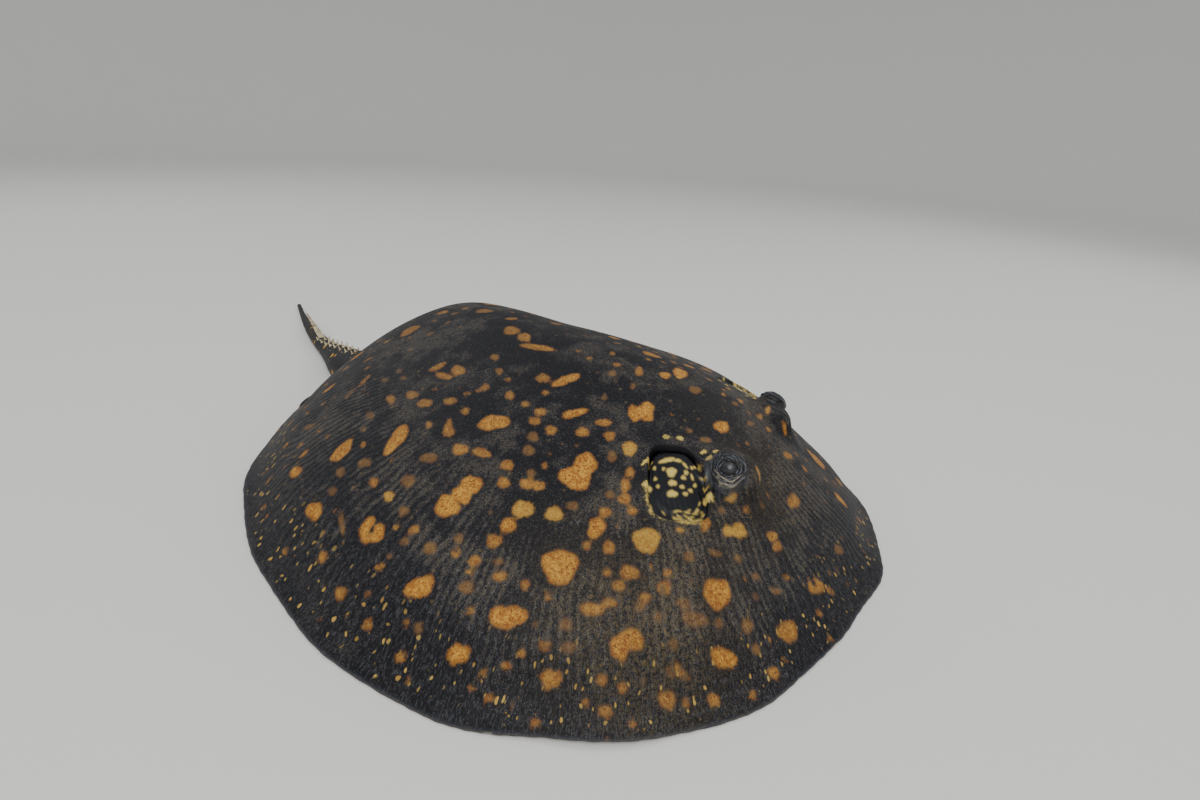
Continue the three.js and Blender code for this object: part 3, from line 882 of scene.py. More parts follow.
@dataclass(frozen=True)
class Scatter:
    """One size of spot strewn evenly where the chart has none."""

    tries: int
    smallest: float
    largest: float
    clear: float
    dim: float
    out_to: float
    charted: bool
    chart_left: ClassVar[float] = 20.0
    chart_rear: ClassVar[float] = 120.0
    chart_front: ClassVar[float] = -320.0
    hole_middle: ClassVar[tuple[float, float]] = (96.0, -162.0)
    hole_clear: ClassVar[tuple[float, float]] = (40.0, 30.0)
    eye_clear: ClassVar[float] = 19.0

    def allowed(self, x: float, y: float) -> bool:
        """Whether a spot may be here: off the chart, if it must be, and clear of holes and eyes.

        Args:
            x: X of its middle.
            y: Y of its middle.

        Returns:
            True where it may.
        """
        if not self.charted and x < self.chart_left and self.chart_front < y < self.chart_rear:
            return False
        (hole_x, hole_y), (wide, long) = self.hole_middle, self.hole_clear
        for side in SIDES:
            hole = math.hypot((x - side * hole_x) / wide, (y - hole_y) / long)
            eye = math.hypot(x - side * EYE.centre[0], y - EYE.centre[1])
            if hole < 1 or eye < self.eye_clear:
                return False
        return True

    def strew(self, rng: np.random.Generator, held: list[Spot]) -> list[Spot]:
        """Adds spots that keep clear of those already there.

        Args:
            rng: A seeded generator.
            held: The spots already there.

        Returns:
            The new spots.
        """
        made: list[Spot] = []
        taken = [(s.x, s.y, (s.long + s.wide) / 4) for s in held]
        for _ in range(self.tries):
            turn = rng.uniform(-math.pi, math.pi)
            reach = math.sqrt(rng.uniform(0.0, self.out_to**2))
            size = rng.uniform(self.smallest, self.largest)
            slim, swing, faint = rng.uniform(0.62, 1.0), rng.uniform(-25, 25), rng.uniform(0, 1)
            x, y = (float(v) for v in DISC.plan(np.array(turn), np.array(reach)))
            near = min(math.hypot(x - a, y - b) - r for a, b, r in taken)
            if near - size / 2 < self.clear or not self.allowed(x, y):
                continue
            outward = math.degrees(math.atan2(y + DISC.widest_ahead, x))
            way = outward + swing if reach > 0.55 else 4 * swing
            taken.append((x, y, size / 2))
            made.append(Spot(x, y, size, size * slim, way, Tone.ORANGE, self.dim * faint))
        return made


class Markings:
    """All the markings, as numbers at the points of the skin."""

    layers: tuple[Scatter, ...] = (
        Scatter(600, 13.0, 22.0, 20.0, 0.2, 0.86, False),
        Scatter(900, 5.5, 10.0, 8.0, 0.6, 0.93, False),
        Scatter(1000, 3.0, 4.8, 6.5, 0.9, 0.96, False),
        Scatter(700, 2.4, 3.8, 6.0, 1.0, 0.97, True),
    )
    # Painted shade: soft patches that darken the skin over the far, rear part of the back and between the
    # eyes.
    dark: tuple[Patch, ...] = (Patch(-60, 20, 140, 150, 0.6), Patch(-10, -178, 45, 50, 0.5))
    faint: Patch = Patch(-15, 90, 120, 130, 0.6)
    films: tuple[Patch, ...] = (
        Patch(-42, -222, 40, 26, 0.55), Patch(-10, -178, 45, 50, 0.15), Patch(-196, -168, 42, 62, 0.75),
        Patch(-150, -200, 60, 40, 0.5),
    )
    reach_mm: float = 14.0
    halo_from: float = 13.0
    halo_mm: float = 6.0

    def __init__(self) -> None:
        """Gathers the charted spots and strews the others."""
        chart = SpotChart()
        self.spots = chart.skin()
        rng = np.random.default_rng(11)
        for layer in self.layers:
            self.spots += layer.strew(rng, self.spots)
        self.spots += chart.valve()
        self.notches = [Spot(x, y, d, d) for x, y, d in chart.notches]
        LOG.info("markings: %d spots", len(self.spots))

    def fields(self, x: Array, y: Array) -> dict[str, Array]:
        """The markings at points seen from above.

        Args:
            x: X of the points.
            y: Y of the points.

        Returns:
            Distance to the nearest spot's edge in centimetres, its tone, its dimness, and how dark the skin
            is round large spots and where the dark patches paint shade.
        """
        gap = np.full(len(x), self.reach_mm)
        tone, dim, spot_halo_and_shade = np.zeros(len(x)), np.zeros(len(x)), np.zeros(len(x))
        for index, spot in enumerate(self.spots):
            box = 1.3 * max(spot.long, spot.wide) + self.reach_mm
            near = np.flatnonzero((np.abs(x - spot.x) < box) & (np.abs(y - spot.y) < box))
            far = spot.gap(x[near], y[near], 1.7 * index)
            if spot.long > self.halo_from and spot.dim < 0.3:
                spot_halo_and_shade[near] = np.maximum(spot_halo_and_shade[near], bell(np.maximum(far, 0), self.halo_mm))
            closer = far < gap[near]
            gap[near[closer]] = far[closer]
            tone[near[closer]] = spot.tone.value
            dim[near[closer]] = spot.dim
        for spot in self.notches:
            gap = np.maximum(gap, -spot.gap(x, y, 0.0))
        dim = np.clip(dim + self.faint.at(x, y), 0, 1)
        # The painted shade of the dark patches joins the darkening round large spots.
        spot_halo_and_shade = np.maximum(spot_halo_and_shade, sum(patch.at(x, y) for patch in self.dark))
        return {"spot": gap / 10, "tone": tone, "dim": dim, "spot_halo_and_shade": spot_halo_and_shade}

    def film(self, x: Array, y: Array) -> Array:
        """How much brown dust lies on the skin at points seen from above."""
        return np.clip(sum(patch.at(x, y) for patch in self.films), 0, 1)


# ---------------------------------------------------------------- mesh helpers


def coords_of(mesh: bpy.types.Mesh) -> Array:
    """The mesh's points as rows of three numbers.

    Args:
        mesh: The mesh.

    Returns:
        The rows.
    """
    flat = np.empty(len(mesh.vertices) * 3)
    mesh.vertices.foreach_get("co", flat)
    return flat.reshape(-1, 3)


def move_points(mesh: bpy.types.Mesh, points: Array) -> None:
    """Puts the mesh's points at these places."""
    mesh.vertices.foreach_set("co", np.ascontiguousarray(points, dtype=np.float32).ravel())
    mesh.update()


def to_mesh(bm: bmesh.types.BMesh, name: str) -> bpy.types.Mesh:
    """Ends a bmesh as a mesh.

    Args:
        bm: The bmesh, which is freed.
        name: The name of the mesh.

    Returns:
        The mesh.
    """
    mesh = bpy.data.meshes.new(name)
    bm.to_mesh(mesh)
    bm.free()
    return mesh


def note(mesh: bpy.types.Mesh, name: str, values: Array) -> None:
    """Keeps a number or three for each point of a mesh, for its material to read.

    Args:
        mesh: The mesh.
        name: The name that the material reads.
        values: A row for each point.
    """
    flat = np.ascontiguousarray(values, dtype=np.float32)
    if flat.ndim == 1:
        mesh.attributes.new(name, "FLOAT", "POINT").data.foreach_set("value", flat)
    else:
        mesh.attributes.new(name, "FLOAT_VECTOR", "POINT").data.foreach_set("vector", flat.ravel())


def origin_shift() -> Array:
    """The animal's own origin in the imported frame, in millimetres, from the eyes' boxes.

    Returns:
        X, Y and Z.
    """
    middles = [(low + high) / 2 for low, high in (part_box("eye_left"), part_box("eye_right"))]
    x = (middles[0].x + middles[1].x) / 2 / MM
    y = (middles[0].y + middles[1].y) / 2 / MM - EYE.centre[1]
    return np.array((x, y, 0.0))


def finish_piece(
    mesh: bpy.types.Mesh, material: bpy.types.Material, nodes: Sequence[str]
) -> bpy.types.Object:
    """Makes a piece of a mesh in the animal's own millimetres.

    Args:
        mesh: The mesh, named as the piece will be.
        material: Its finish.
        nodes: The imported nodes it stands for.

    Returns:
        The piece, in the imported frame.
    """
    move_points(mesh, (coords_of(mesh) + origin_shift()) * MM)
    mesh.materials.clear()
    mesh.materials.append(material)
    mesh.polygons.foreach_set("material_index", np.zeros(len(mesh.polygons), dtype=np.int32))
    mesh.polygons.foreach_set("use_smooth", np.ones(len(mesh.polygons), dtype=bool))
    piece = bpy.data.objects.new(mesh.name, mesh)
    bpy.context.scene.collection.objects.link(piece)
    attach(piece, "root")
    if nodes:
        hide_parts(*nodes)
    LOG.info("%s: %d points, %d faces", piece.name, len(mesh.vertices), len(mesh.polygons))
    return piece


def tube_bmesh(stations: int, around: int) -> bmesh.types.BMesh:
    """A closed tube of unit radius whose Z runs from 0 to 1, ready to be laid along a path.

    Its faces point inwards, so that they point outwards once its Z is laid along Y and its Y up.

    Args:
        stations: Lengths along it.
        around: Sides round it.

    Returns:
        The bmesh, its ends closed by fans.
    """
    bm = bmesh.new()
    bmesh.ops.create_cone(
        bm, cap_ends=True, cap_tris=True, segments=around, radius1=1, radius2=1, depth=1,
        matrix=Matrix.Translation((0, 0, 0.5)),
    )
    upright = [e for e in bm.edges if abs(e.verts[0].co.z - e.verts[1].co.z) > 0.5]
    bmesh.ops.subdivide_edges(bm, edges=upright, cuts=stations - 1, use_grid_fill=True)
    bmesh.ops.reverse_faces(bm, faces=bm.faces)
    return bm


# ---------------------------------------------------------------- the skin


@dataclass(frozen=True)
class Underside:
    """The mouth, nostrils, gill slits and vent under the disc, in millimetres."""

    mouth_y: float = -176.0
    mouth_half: float = 27.0
    mouth_bow: float = 0.007
    nostril: tuple[float, float] = (19.0, -199.0)
    gill_first: tuple[float, float] = (62.0, -132.0)
    gill_step: tuple[float, float] = (-6.0, 21.0)
    gills: int = 5
    gill_half: float = 10.0
    vent: tuple[float, float] = (0.0, 196.0)
    mouth_depth: float = 5.0
    lip_height: float = 1.6
    curtain_y: float = -193.0
    curtain_height: float = 1.5
    nostril_depth: float = 4.0
    gill_depth: float = 2.6
    gill_lip: float = 1.3
    vent_depth: float = 3.0

    def relief(self, x: Array, y: Array) -> Array:
        """How far the skin goes up into the body (+) or stands out of it (-).

        Args:
            x: X of the points.
            y: Y of the points.

        Returns:
            Heights.
        """
        bow = y - (self.mouth_y + self.mouth_bow * x * x)
        ends = 1 - smooth(self.mouth_half - 5, self.mouth_half, np.abs(x))
        lips = bell(bow - 6, 3.5) + bell(bow + 6, 3.5)
        up = self.mouth_depth * bell(bow, 2.2) * ends - self.lip_height * lips * ends
        curtain = bell(y - self.curtain_y, 9) * (1 - smooth(15, 24, np.abs(x)))
        up = up - self.curtain_height * curtain
        for side in SIDES:
            near = np.hypot((x - side * self.nostril[0]) / 1.5, y - self.nostril[1])
            up = up + self.nostril_depth * bell(near, 2.6) - 0.9 * bell(near - 5, 2)
            for index in range(self.gills):
                gx = side * (self.gill_first[0] + index * self.gill_step[0])
                gy = self.gill_first[1] + index * self.gill_step[1]
                across = (y - gy) + 0.22 * side * (x - gx) + 0.02 * (x - gx) ** 2
                held = 1 - smooth(self.gill_half - 3, self.gill_half, np.abs(x - gx))
                lip = self.gill_lip * bell(across + 4.5, 3.2)
                up = up + (self.gill_depth * bell(across, 1.7) - lip) * held
        vent = np.hypot((x - self.vent[0]) / 0.6, (y - self.vent[1]) / 1.4)
        return up + self.vent_depth * bell(vent, 5) - bell(vent - 8, 3)

    def shade(self, x: Array, y: Array) -> Array:
        """How far each place is inside a slit."""
        return smooth(0.7, 2.6, self.relief(x, y))


@dataclass(frozen=True)
class PelvicFin:
    """A pelvic fin under the rear margin. Left side."""

    root: tuple[float, float] = (15.0, 240.0)
    apart: float = 17.0
    length: float = 92.0
    wide: float = 73.0
    thick: float = 4.8
    splay: float = 0.12
    swing: float = -0.14
    around: int = 56
    rings: int = 32
    widest: float = 0.37
    tip: float = 0.34

    def build(self, side: float) -> bpy.types.Mesh:
        """A thin rounded leaf with faint rays.

        Args:
            side: 1 on the left, -1 on the right.

        Returns:
            The mesh.
        """
        bm = bmesh.new()
        turned = Matrix.Rotation(math.pi / 2, 4, "X")
        bmesh.ops.create_uvsphere(bm, u_segments=self.around, v_segments=self.rings, radius=1, matrix=turned)
        if side < 0:
            bmesh.ops.reverse_faces(bm, faces=bm.faces)
        mesh = to_mesh(bm, "pelvic_fin")
        x, y, z = coords_of(mesh).T
        hollow = np.sqrt(np.maximum(1 - y * y, 1e-9))
        far, aside, rise = 0.5 + 0.5 * y, np.clip(x / hollow, -1, 1), np.clip(z / hollow, -1, 1)
        beyond = far > self.widest
        past = np.where(beyond, (far - self.widest) / (1 - self.widest), (self.widest - far) / self.widest)
        bulge = np.sqrt(np.maximum(1 - past**2, 0))
        outer = np.where(beyond, self.tip + (1 - self.tip) * bulge, 0.4 + 0.6 * bulge)
        inner = self.tip * far**3
        across = self.wide * (inner + (outer - inner) * (0.5 + 0.5 * aside))
        rays = 1 - 0.1 * far * (0.5 + 0.5 * np.cos(aside * 30))
        swell = np.sign(rise) * np.abs(rise) ** 0.6 * hollow**0.5 * rays * (1 - 0.3 * far)
        level = self.thick / 2 * (1 + swell)
        way = side * self.splay + self.swing
        px, py = side * across, far * self.length
        nx = self.root[0] + side * self.apart + px * math.cos(way) - py * math.sin(way)
        ny = self.root[1] + px * math.sin(way) + py * math.cos(way)
        move_points(mesh, np.stack([nx, ny, level], axis=1))
        return mesh


class Skin:
    """One skin over the whole animal."""

    cells: int = 208
    sole_share: int = 4
    rim_pull: float = 0.03
    eye_zone: float = 19.5
    brow_blend: float = 7.0
    hole_zone: tuple[float, float] = (40.0, 31.0)
    under_zone: tuple[float, float, float] = (84.0, -212.0, -26.0)
    join_box: tuple[float, float, float] = (84.0, 150.0, 330.0)
    join_sharp: float = 0.3
    join_lean: float = 0.3
    join_low: float = 6.0
    join_rings: int = 4
    join_smooths: int = 16
    tail_from: float = 150.0
    wrinkle: float = 0.35
    nodes: tuple[str, ...] = (
        "head", "trunk", "pectoral_fin_left", "pectoral_fin_right", "pelvic_fin_left", "pelvic_fin_right",
        "tail_base", "tail_middle", "tail_tip",
    )

    def __init__(self, markings: Markings) -> None:
        """Keeps the markings that the skin will carry."""
        self.markings = markings
        self.under = Underside()

    def place(self, square: Array) -> tuple[Array, Array]:
        """Turn and reach of points of a square from -1 to 1, whose rings become the disc's.

        Args:
            square: Points whose first two numbers are the place in the square.

        Returns:
            Turns and reaches.
        """
        a, b = square[:, 0], square[:, 1]
        ring = np.maximum(np.abs(a), np.abs(b))
        eighth = math.pi / 4
        sideways = np.abs(a) >= np.abs(b)
        share = np.where(sideways, b, a) / np.maximum(ring, 1e-9)
        flanks = np.where(a >= 0, eighth * share, math.pi - eighth * share)
        ends = np.where(b >= 0, 2 * eighth - eighth * share, 6 * eighth + eighth * share)
        way = np.where(sideways, flanks, ends)
        inset = 1 - ring
        reach = 1 - inset**2 / (inset + self.rim_pull) * (1 + self.rim_pull)
        turn = way + math.pi / 2
        return np.arctan2(np.sin(turn), np.cos(turn)), reach

    def refine(self, bm: bmesh.types.BMesh, wanted: Callable[[Array, Array], Array], times: int) -> None:
        """Divides the edges of a zone.

        Args:
            bm: The flat sheet.
            wanted: Tells for X and Y in millimetres whether a point is in the zone.
            times: How often each edge is halved.
        """
        for _ in range(times):
            flat = np.array([v.co for v in bm.verts])
            turn, reach = self.place(flat)
            x, y = DISC.plan(turn, reach)
            inside = wanted(x, y)
            bm.verts.index_update()
            edges = [e for e in bm.edges if inside[e.verts[0].index] and inside[e.verts[1].index]]
            bmesh.ops.subdivide_edges(bm, edges=edges, cuts=1, use_grid_fill=True)

    def sheet(self, upper: bool) -> bpy.types.Mesh:
        """The skin's back or its underside as a flat square sheet, fine where it needs to be.

        Args:
            upper: True for the back.

        Returns:
            The sheet, at Z 1 for the back and -1 for the underside.
        """
        bm = bmesh.new()
        count = self.cells if upper else self.cells // self.sole_share
        bmesh.ops.create_grid(bm, x_segments=count, y_segments=count, size=1.0)
        if upper:
            long, wide = self.hole_zone
            cx, cy = SPIRACLE.centre
            for grown in (1.0, 0.88):
                self.refine(
                    bm, lambda x, y: np.hypot((np.abs(x) - cx) / long / grown, (y - cy) / wide / grown) < 1, 1
                )
            ex, ey = EYE.centre[0], EYE.centre[1]
            for far in (self.eye_zone + 3, self.eye_zone):
                self.refine(bm, lambda x, y: np.hypot(np.abs(x) - ex, y - ey) < far, 1)
        else:
            rim = [e for e in bm.edges if e.is_boundary]
            bmesh.ops.subdivide_edges(bm, edges=rim, cuts=self.sole_share - 1)
            half, front, rear = self.under_zone
            self.refine(bm, lambda x, y: (np.abs(x) < half) & (y > front) & (y < rear), 2)
            bmesh.ops.reverse_faces(bm, faces=bm.faces)
        bmesh.ops.translate(bm, verts=bm.verts, vec=(0, 0, 1 if upper else -1))
        return to_mesh(bm, "sheet")

    def relief(self, x: Array, y: Array, z: Array, reach: Array, upper: Array) -> Array:
        """Adds brows, breathing holes, flesh and the underside's openings to plain heights.

        Args:
            x: X of the points.
            y: Y of the points.
            z: Their plain heights.
            reach: Their reaches.
            upper: True for points of the back.

        Returns:
            The heights.
        """
        points = np.stack([x, y, z], axis=1)
        inner = 1 - smooth(0.82, 0.98, reach)
        high = z + ripples(x, y) * inner
        for side in SIDES:
            high = soft_max(EYE.brow(points, side), high, self.brow_blend)
            high = high + SPIRACLE.sunk(points, side)
        low = z + self.under.relief(x, y) * inner
        return np.where(upper, high, np.maximum(low, 0))

    def disc(self) -> bpy.types.Mesh:
        """The closed disc with its relief, in the animal's millimetres.

        Returns:
            The mesh.
        """
        bm = bmesh.new()
        for upper in (True, False):
            sheet = self.sheet(upper)
            bm.from_mesh(sheet)
            bpy.data.meshes.remove(sheet)
        mesh = to_mesh(bm, "stingray_skin")
        square = coords_of(mesh)
        turn, reach = self.place(square)
        upper = square[:, 2] > 0
        x, y = DISC.plan(turn, reach)
        nick = DISC.nicks(turn) * smooth(0.93, 1.0, reach)
        x, y = x - nick * np.sin(turn), y + nick * np.cos(turn)
        z = self.relief(x, y, DISC.rounded(turn, reach, upper), reach, upper)
        points = np.stack([x, y, z], axis=1)
        for side in SIDES:
            points = np.where(upper[:, None], EYE.dressed(points, side), points)
        move_points(mesh, points)
        bm = bmesh.new()
        bm.from_mesh(mesh)
        bmesh.ops.remove_doubles(bm, verts=[v for v in bm.verts if v.is_boundary], dist=0.02)
        bm.to_mesh(mesh)
        bm.free()
        return mesh

    def tail(self) -> bpy.types.Mesh:
        """The tail as a closed tube from inside the body to its tip.

        Returns:
            The mesh.
        """
        mesh = to_mesh(tube_bmesh(TAIL.stations, TAIL.around), "tail")
        tube = coords_of(mesh)
        along = tube[:, 2]
        angle = np.arctan2(tube[:, 1], tube[:, 0])
        hollow = np.hypot(tube[:, 0], tube[:, 1])
        wrinkle = self.wrinkle * np.sin(along * 260 + 2 * np.sin(angle * 3)) * (1 - along)
        skin = TAIL.point(along, angle, wrinkle)
        x, y = TAIL.path(along)
        core = np.stack([x, y, TAIL.floor(along) + TAIL.height(along) * 0.45], axis=1)
        move_points(mesh, core + (skin - core) * hollow[:, None])
        return mesh

    def united(self) -> bpy.types.Mesh:
        """The disc, tail and pelvic fins as one closed skin.

        Returns:
            The mesh.
        """
        scene = bpy.context.scene.collection.objects
        parts = [self.disc(), self.tail(), PelvicFin().build(1.0), PelvicFin().build(-1.0)]
        objects = [bpy.data.objects.new(m.name, m) for m in parts]
        for part in objects:
            scene.link(part)
        for tool in objects[1:]:
            cut = objects[0].modifiers.new(tool.name, "BOOLEAN")
            cut.operation, cut.solver, cut.object = "UNION", "MANIFOLD", tool
        graph = bpy.context.evaluated_depsgraph_get()
        whole = bpy.data.meshes.new_from_object(objects[0].evaluated_get(graph))
        for part, mesh in zip(objects, parts):
            bpy.data.objects.remove(part)
            bpy.data.meshes.remove(mesh)
        whole.name = "stingray_skin"
        return whole

    def eased(self, mesh: bpy.types.Mesh) -> None:
        """Smooths the crease where the tail leaves the body.

        Args:
            mesh: The whole skin.
        """
        bm = bmesh.new()
        bm.from_mesh(mesh)
        half, front, rear = self.join_box
        sharp: set[bmesh.types.BMVert] = set()
        for edge in bm.edges:
            x, y, z = (edge.verts[0].co + edge.verts[1].co) / 2
            if abs(x - self.join_lean * (y - TAIL.root_y)) > half or not front < y < rear:
                continue
            if z < self.join_low or len(edge.link_faces) != 2:
                continue
            if edge.calc_face_angle() > self.join_sharp:
                sharp.update(edge.verts)
        ring = sharp
        for _ in range(self.join_rings):
            ring = {other for v in ring for e in v.link_edges for other in e.verts}
        rim = [v for v in ring if v.co.z > self.join_low + 1]
        for _ in range(self.join_smooths):
            bmesh.ops.smooth_vert(
                bm, verts=rim, factor=0.5, use_axis_x=True, use_axis_y=True, use_axis_z=True
            )
        bm.to_mesh(mesh)
        bm.free()

    def disc_notes(self, points: Array, facing: Array) -> dict[str, Array]:
        """What the colours of the disc, its underside and the tail depend on.

        Args:
            points: The skin's points.
            facing: How far upwards the skin faces at each.

        Returns:
            Numbers or vectors of the points, by name.
        """
        x, y, z = points.T
        turn, reach = DISC.place_of(x, y)
        back, sole = (height(turn, np.minimum(reach, 1)) for height in (DISC.back, DISC.sole))
        along, side = TAIL.near(points)
        off_back = np.maximum(smooth(3, 12, z - back), smooth(1.0, 1.03, reach))
        level = 0.5 * (back + sole) - 4 * (1 - reach)
        under = np.where(reach < 1.0, 1 - smooth(-3, 1, z - level), 0)
        return {
            "ray": np.stack([reach * np.sin(turn), reach * np.cos(turn), np.zeros(len(x))], axis=1),
            "tail": np.where(y > self.tail_from, off_back, 0),
            "shaft": np.stack([along * TAIL.length, side, z], axis=1) / 100,
            "belly": np.where(facing < 0.1, np.maximum(under, smooth(0.1, -0.5, facing)), 0),
            "slit": self.under.shade(x, y) * (facing < 0.5) * (reach < 0.95),
        }

    def head_notes(self, points: Array) -> dict[str, Array]:
        """What the colours of the breathing holes and lids depend on.

        Args:
            points: The skin's points.

        Returns:
            Numbers or vectors of the points, by name.
        """
        notes: dict[str, Array] = {}
        lid_place = np.zeros((len(points), 3))
        for side in SIDES:
            found = SPIRACLE.notes(points, side) | EYE.notes(points, side)
            notes = {name: np.maximum(notes.get(name, 0), values) for name, values in found.items()}
            ringed, near = EYE.ringed(points, side)
            lid_place = np.where(near[:, None], ringed, lid_place)
        return notes | {"lid_place": lid_place}

    def describe(self, mesh: bpy.types.Mesh) -> None:
        """Notes on each point what its colour depends on.

        Args:
            mesh: The whole skin.
        """
        points = coords_of(mesh)
        normals = np.empty(len(mesh.vertices) * 3)
        mesh.vertices.foreach_get("normal", normals)
        x, y = points[:, 0], points[:, 1]
        notes = self.markings.fields(x, y) | self.disc_notes(points, normals[2::3]) | self.head_notes(points)
        notes["film"] = self.markings.film(x, y) * (1 - notes["hole"])
        for name, values in notes.items():
            note(mesh, name, values)

    def build(self, material: bpy.types.Material) -> bpy.types.Object:
        """Builds and dresses the whole skin.

        Args:
            material: Its finish.

        Returns:
            The skin.
        """
        mesh = self.united()
        self.eased(mesh)
        self.describe(mesh)
        return finish_piece(mesh, material, self.nodes)


# ---------------------------------------------------------------- eyes, sting and thorns


class EyeBall:
    """A dark glossy eye with a slit pupil under a fringed flap."""

    segments: int = 72
    rings: int = 44
    cornea: float = 0.5
    cornea_spread: float = 0.5

    def build(self, side: float, material: bpy.types.Material) -> bpy.types.Object:
        """Builds one eye.

        Args:
            side: 1 on the left, -1 on the right.
            material: Its finish.

        Returns:
            The eye.
        """
        bm = bmesh.new()
        bmesh.ops.create_uvsphere(bm, u_segments=self.segments, v_segments=self.rings, radius=EYE.ball)
        name = "eyeball_left" if side > 0 else "eyeball_right"
        mesh = to_mesh(bm, name)
        points = coords_of(mesh)
        look = Vector((side * EYE.look[0], EYE.look[1], EYE.look[2])).normalized()
        angle = np.arccos(np.clip(points[:, 2] / EYE.ball, -1, 1))
        note(mesh, "sight", points / EYE.ball)
        note(mesh, "off_axis", angle)
        points = points * (1 + self.cornea / EYE.ball * bell(angle, self.cornea_spread))[:, None]
        turned = np.array(look.to_track_quat("Z", "Y").to_matrix())
        centre = np.array((side * EYE.centre[0], EYE.centre[1], EYE.centre[2]))
        move_points(mesh, points @ turned.T + centre)
        return finish_piece(mesh, material, ["eye_left" if side > 0 else "eye_right"])


@dataclass(frozen=True)
class Sting:
    """The flat toothed sting on the tail."""

    length: float = 108.5
    wide: float = 8.9
    thick: float = 3.3
    taper: float = 0.78
    taper_power: float = 1.6
    teeth: int = 34
    plain: float = 0.28
    tooth: float = 0.85
    groove: float = 0.55
    along: float = 0.53
    rise: float = 0.075
    swing: float = 0.03
    sunk: float = 2.2
    point: float = 0.05
    stations: int = 272
    around: int = 20

    def build(self, material: bpy.types.Material) -> bpy.types.Object:
        """Builds the sting.

        Args:
            material: Its finish.

        Returns:
            The sting.
        """
        mesh = to_mesh(tube_bmesh(self.stations, self.around), "sting_blade")
        tube = coords_of(mesh)
        t = tube[:, 2]
        half = self.wide / 2 * (1 - self.taper * t**self.taper_power)
        half = half * np.sqrt(np.clip((1 - t) / self.point, 0, 1))
        saw = (t * self.teeth) % 1.0
        bite = self.tooth * saw * smooth(self.plain, self.plain + 0.05, t) * (1 - smooth(0.93, 1, t))
        x = np.sign(tube[:, 0]) * np.abs(tube[:, 0]) ** 0.8 * np.maximum(half - bite, 0.12)
        slim = 1 - 0.45 * t
        top = self.groove * bell(x, 1.0) * (tube[:, 1] > 0.3) * (1 - smooth(0.6, 0.95, t))
        z = self.thick / 2 + tube[:, 1] * self.thick / 2 * slim - top
        thinned = self.thick / 2 + (z - self.thick / 2) * np.clip((1 - t) / self.point, 0.15, 1)
        z = np.where(t > 1 - self.point, thinned, z)
        note(mesh, "blade", np.stack([x / 10, t, bite], axis=1))
        y = t * self.length
        flat = y * math.cos(self.rise) - z * math.sin(self.rise)
        risen = y * math.sin(self.rise) + z * math.cos(self.rise)
        at = np.array([self.along])
        way = float(-TAIL.heading(at)[0] - self.swing)
        px, py = (float(v[0]) for v in TAIL.path(at))
        base = float((TAIL.floor(at) + TAIL.height(at))[0]) - self.sunk
        nx = x * math.cos(way) - flat * math.sin(way) + px
        ny = x * math.sin(way) + flat * math.cos(way) + py
        move_points(mesh, np.stack([nx, ny, risen + base], axis=1))
        return finish_piece(mesh, material, ["tail_sting"])


@dataclass(frozen=True)
class Thorns:
    """Bony thorns in rows on the tail, with small prickles between them."""

    count: int = 22
    first: float = 0.19
    span: float = 0.33
    row_gap: float = 6.5
    height: float = 5.4
    end_loss: float = 2.2
    tallest: float = 0.55
    row_loss: float = 0.6
    prickles: int = 90
    prickle_height: float = 1.7
    segments: int = 14
    lean: float = 0.62
    foot: float = 0.62
    tall: float = 1.5

    def thorn(self, bm: bmesh.types.BMesh, along: float, aside: float, height: float) -> None:
        """Adds one thorn, leaning back.

        Args:
            bm: The bmesh to add to.
            along: Its place along the tail.
            aside: Its distance to the left of the ridge.
            height: Its height over the skin.
        """
        at = np.array([along])
        half = float(TAIL.width(at)[0]) / 2
        angle = np.array([math.acos(max(-0.95, min(0.95, aside / half)))])
        foot = TAIL.point(at, angle, -0.7)[0]
        way = float(TAIL.heading(at)[0])
        back = math.sin(self.lean)
        tilt = Vector((math.sin(way) * back, math.cos(way) * back, math.cos(self.lean)))
        splay = 0.8 * aside / half
        tilt += Vector((math.cos(way), -math.sin(way), 0)) * splay
        turned = tilt.normalized().to_track_quat("Z", "Y").to_matrix().to_4x4()
        cone = bmesh.new()
        tall = self.tall * height
        bmesh.ops.create_cone(
            cone, cap_ends=True, cap_tris=False, segments=self.segments, radius1=self.foot * height,
            radius2=0.06 * height, depth=tall, matrix=Matrix.Translation((0, 0, tall / 2)),
        )
        sides = [e for e in cone.edges if abs(e.verts[0].co.z - e.verts[1].co.z) > tall / 2]
        bmesh.ops.subdivide_edges(cone, edges=sides, cuts=5, use_grid_fill=True)
        for vert in cone.verts:
            up = min(max(vert.co.z / tall, 0.0), 1.0)
            pull = 1 - 0.42 * math.sin(math.pi * up) * (1 - up) ** 0.4
            vert.co = (vert.co.x * pull, vert.co.y * pull + 0.12 * height * up * up, vert.co.z)
        cone.transform(Matrix.Translation(foot) @ turned)
        mesh = to_mesh(cone, "thorn")
        bm.from_mesh(mesh)
        bpy.data.meshes.remove(mesh)

    def build(self, material: bpy.types.Material) -> bpy.types.Object:
        """Builds all thorns as one piece.

        Args:
            material: Their finish.

        Returns:
            The thorns.
        """
        bm = bmesh.new()
        for index in range(self.count):
            along = self.first + self.span * index / (self.count - 1)
            row = index % 3 - 1
            loss = self.end_loss * abs(index / self.count - self.tallest)
            height = self.height - loss - self.row_loss * abs(row)
            self.thorn(bm, along, row * self.row_gap, height)
        rng = np.random.default_rng(5)
        for _ in range(self.prickles):
            along = float(rng.uniform(0.12, 0.9))
            width = float(TAIL.width(np.array([along]))[0])
            height = self.prickle_height * float(rng.uniform(0.6, 1.1)) * (1 - 0.5 * along)
            self.thorn(bm, along, float(rng.uniform(-0.36, 0.36)) * width, height)
        return finish_piece(to_mesh(bm, "tail_thorns"), material, [])


# ---------------------------------------------------------------- shader maths

Colour = tuple[float, float, float]


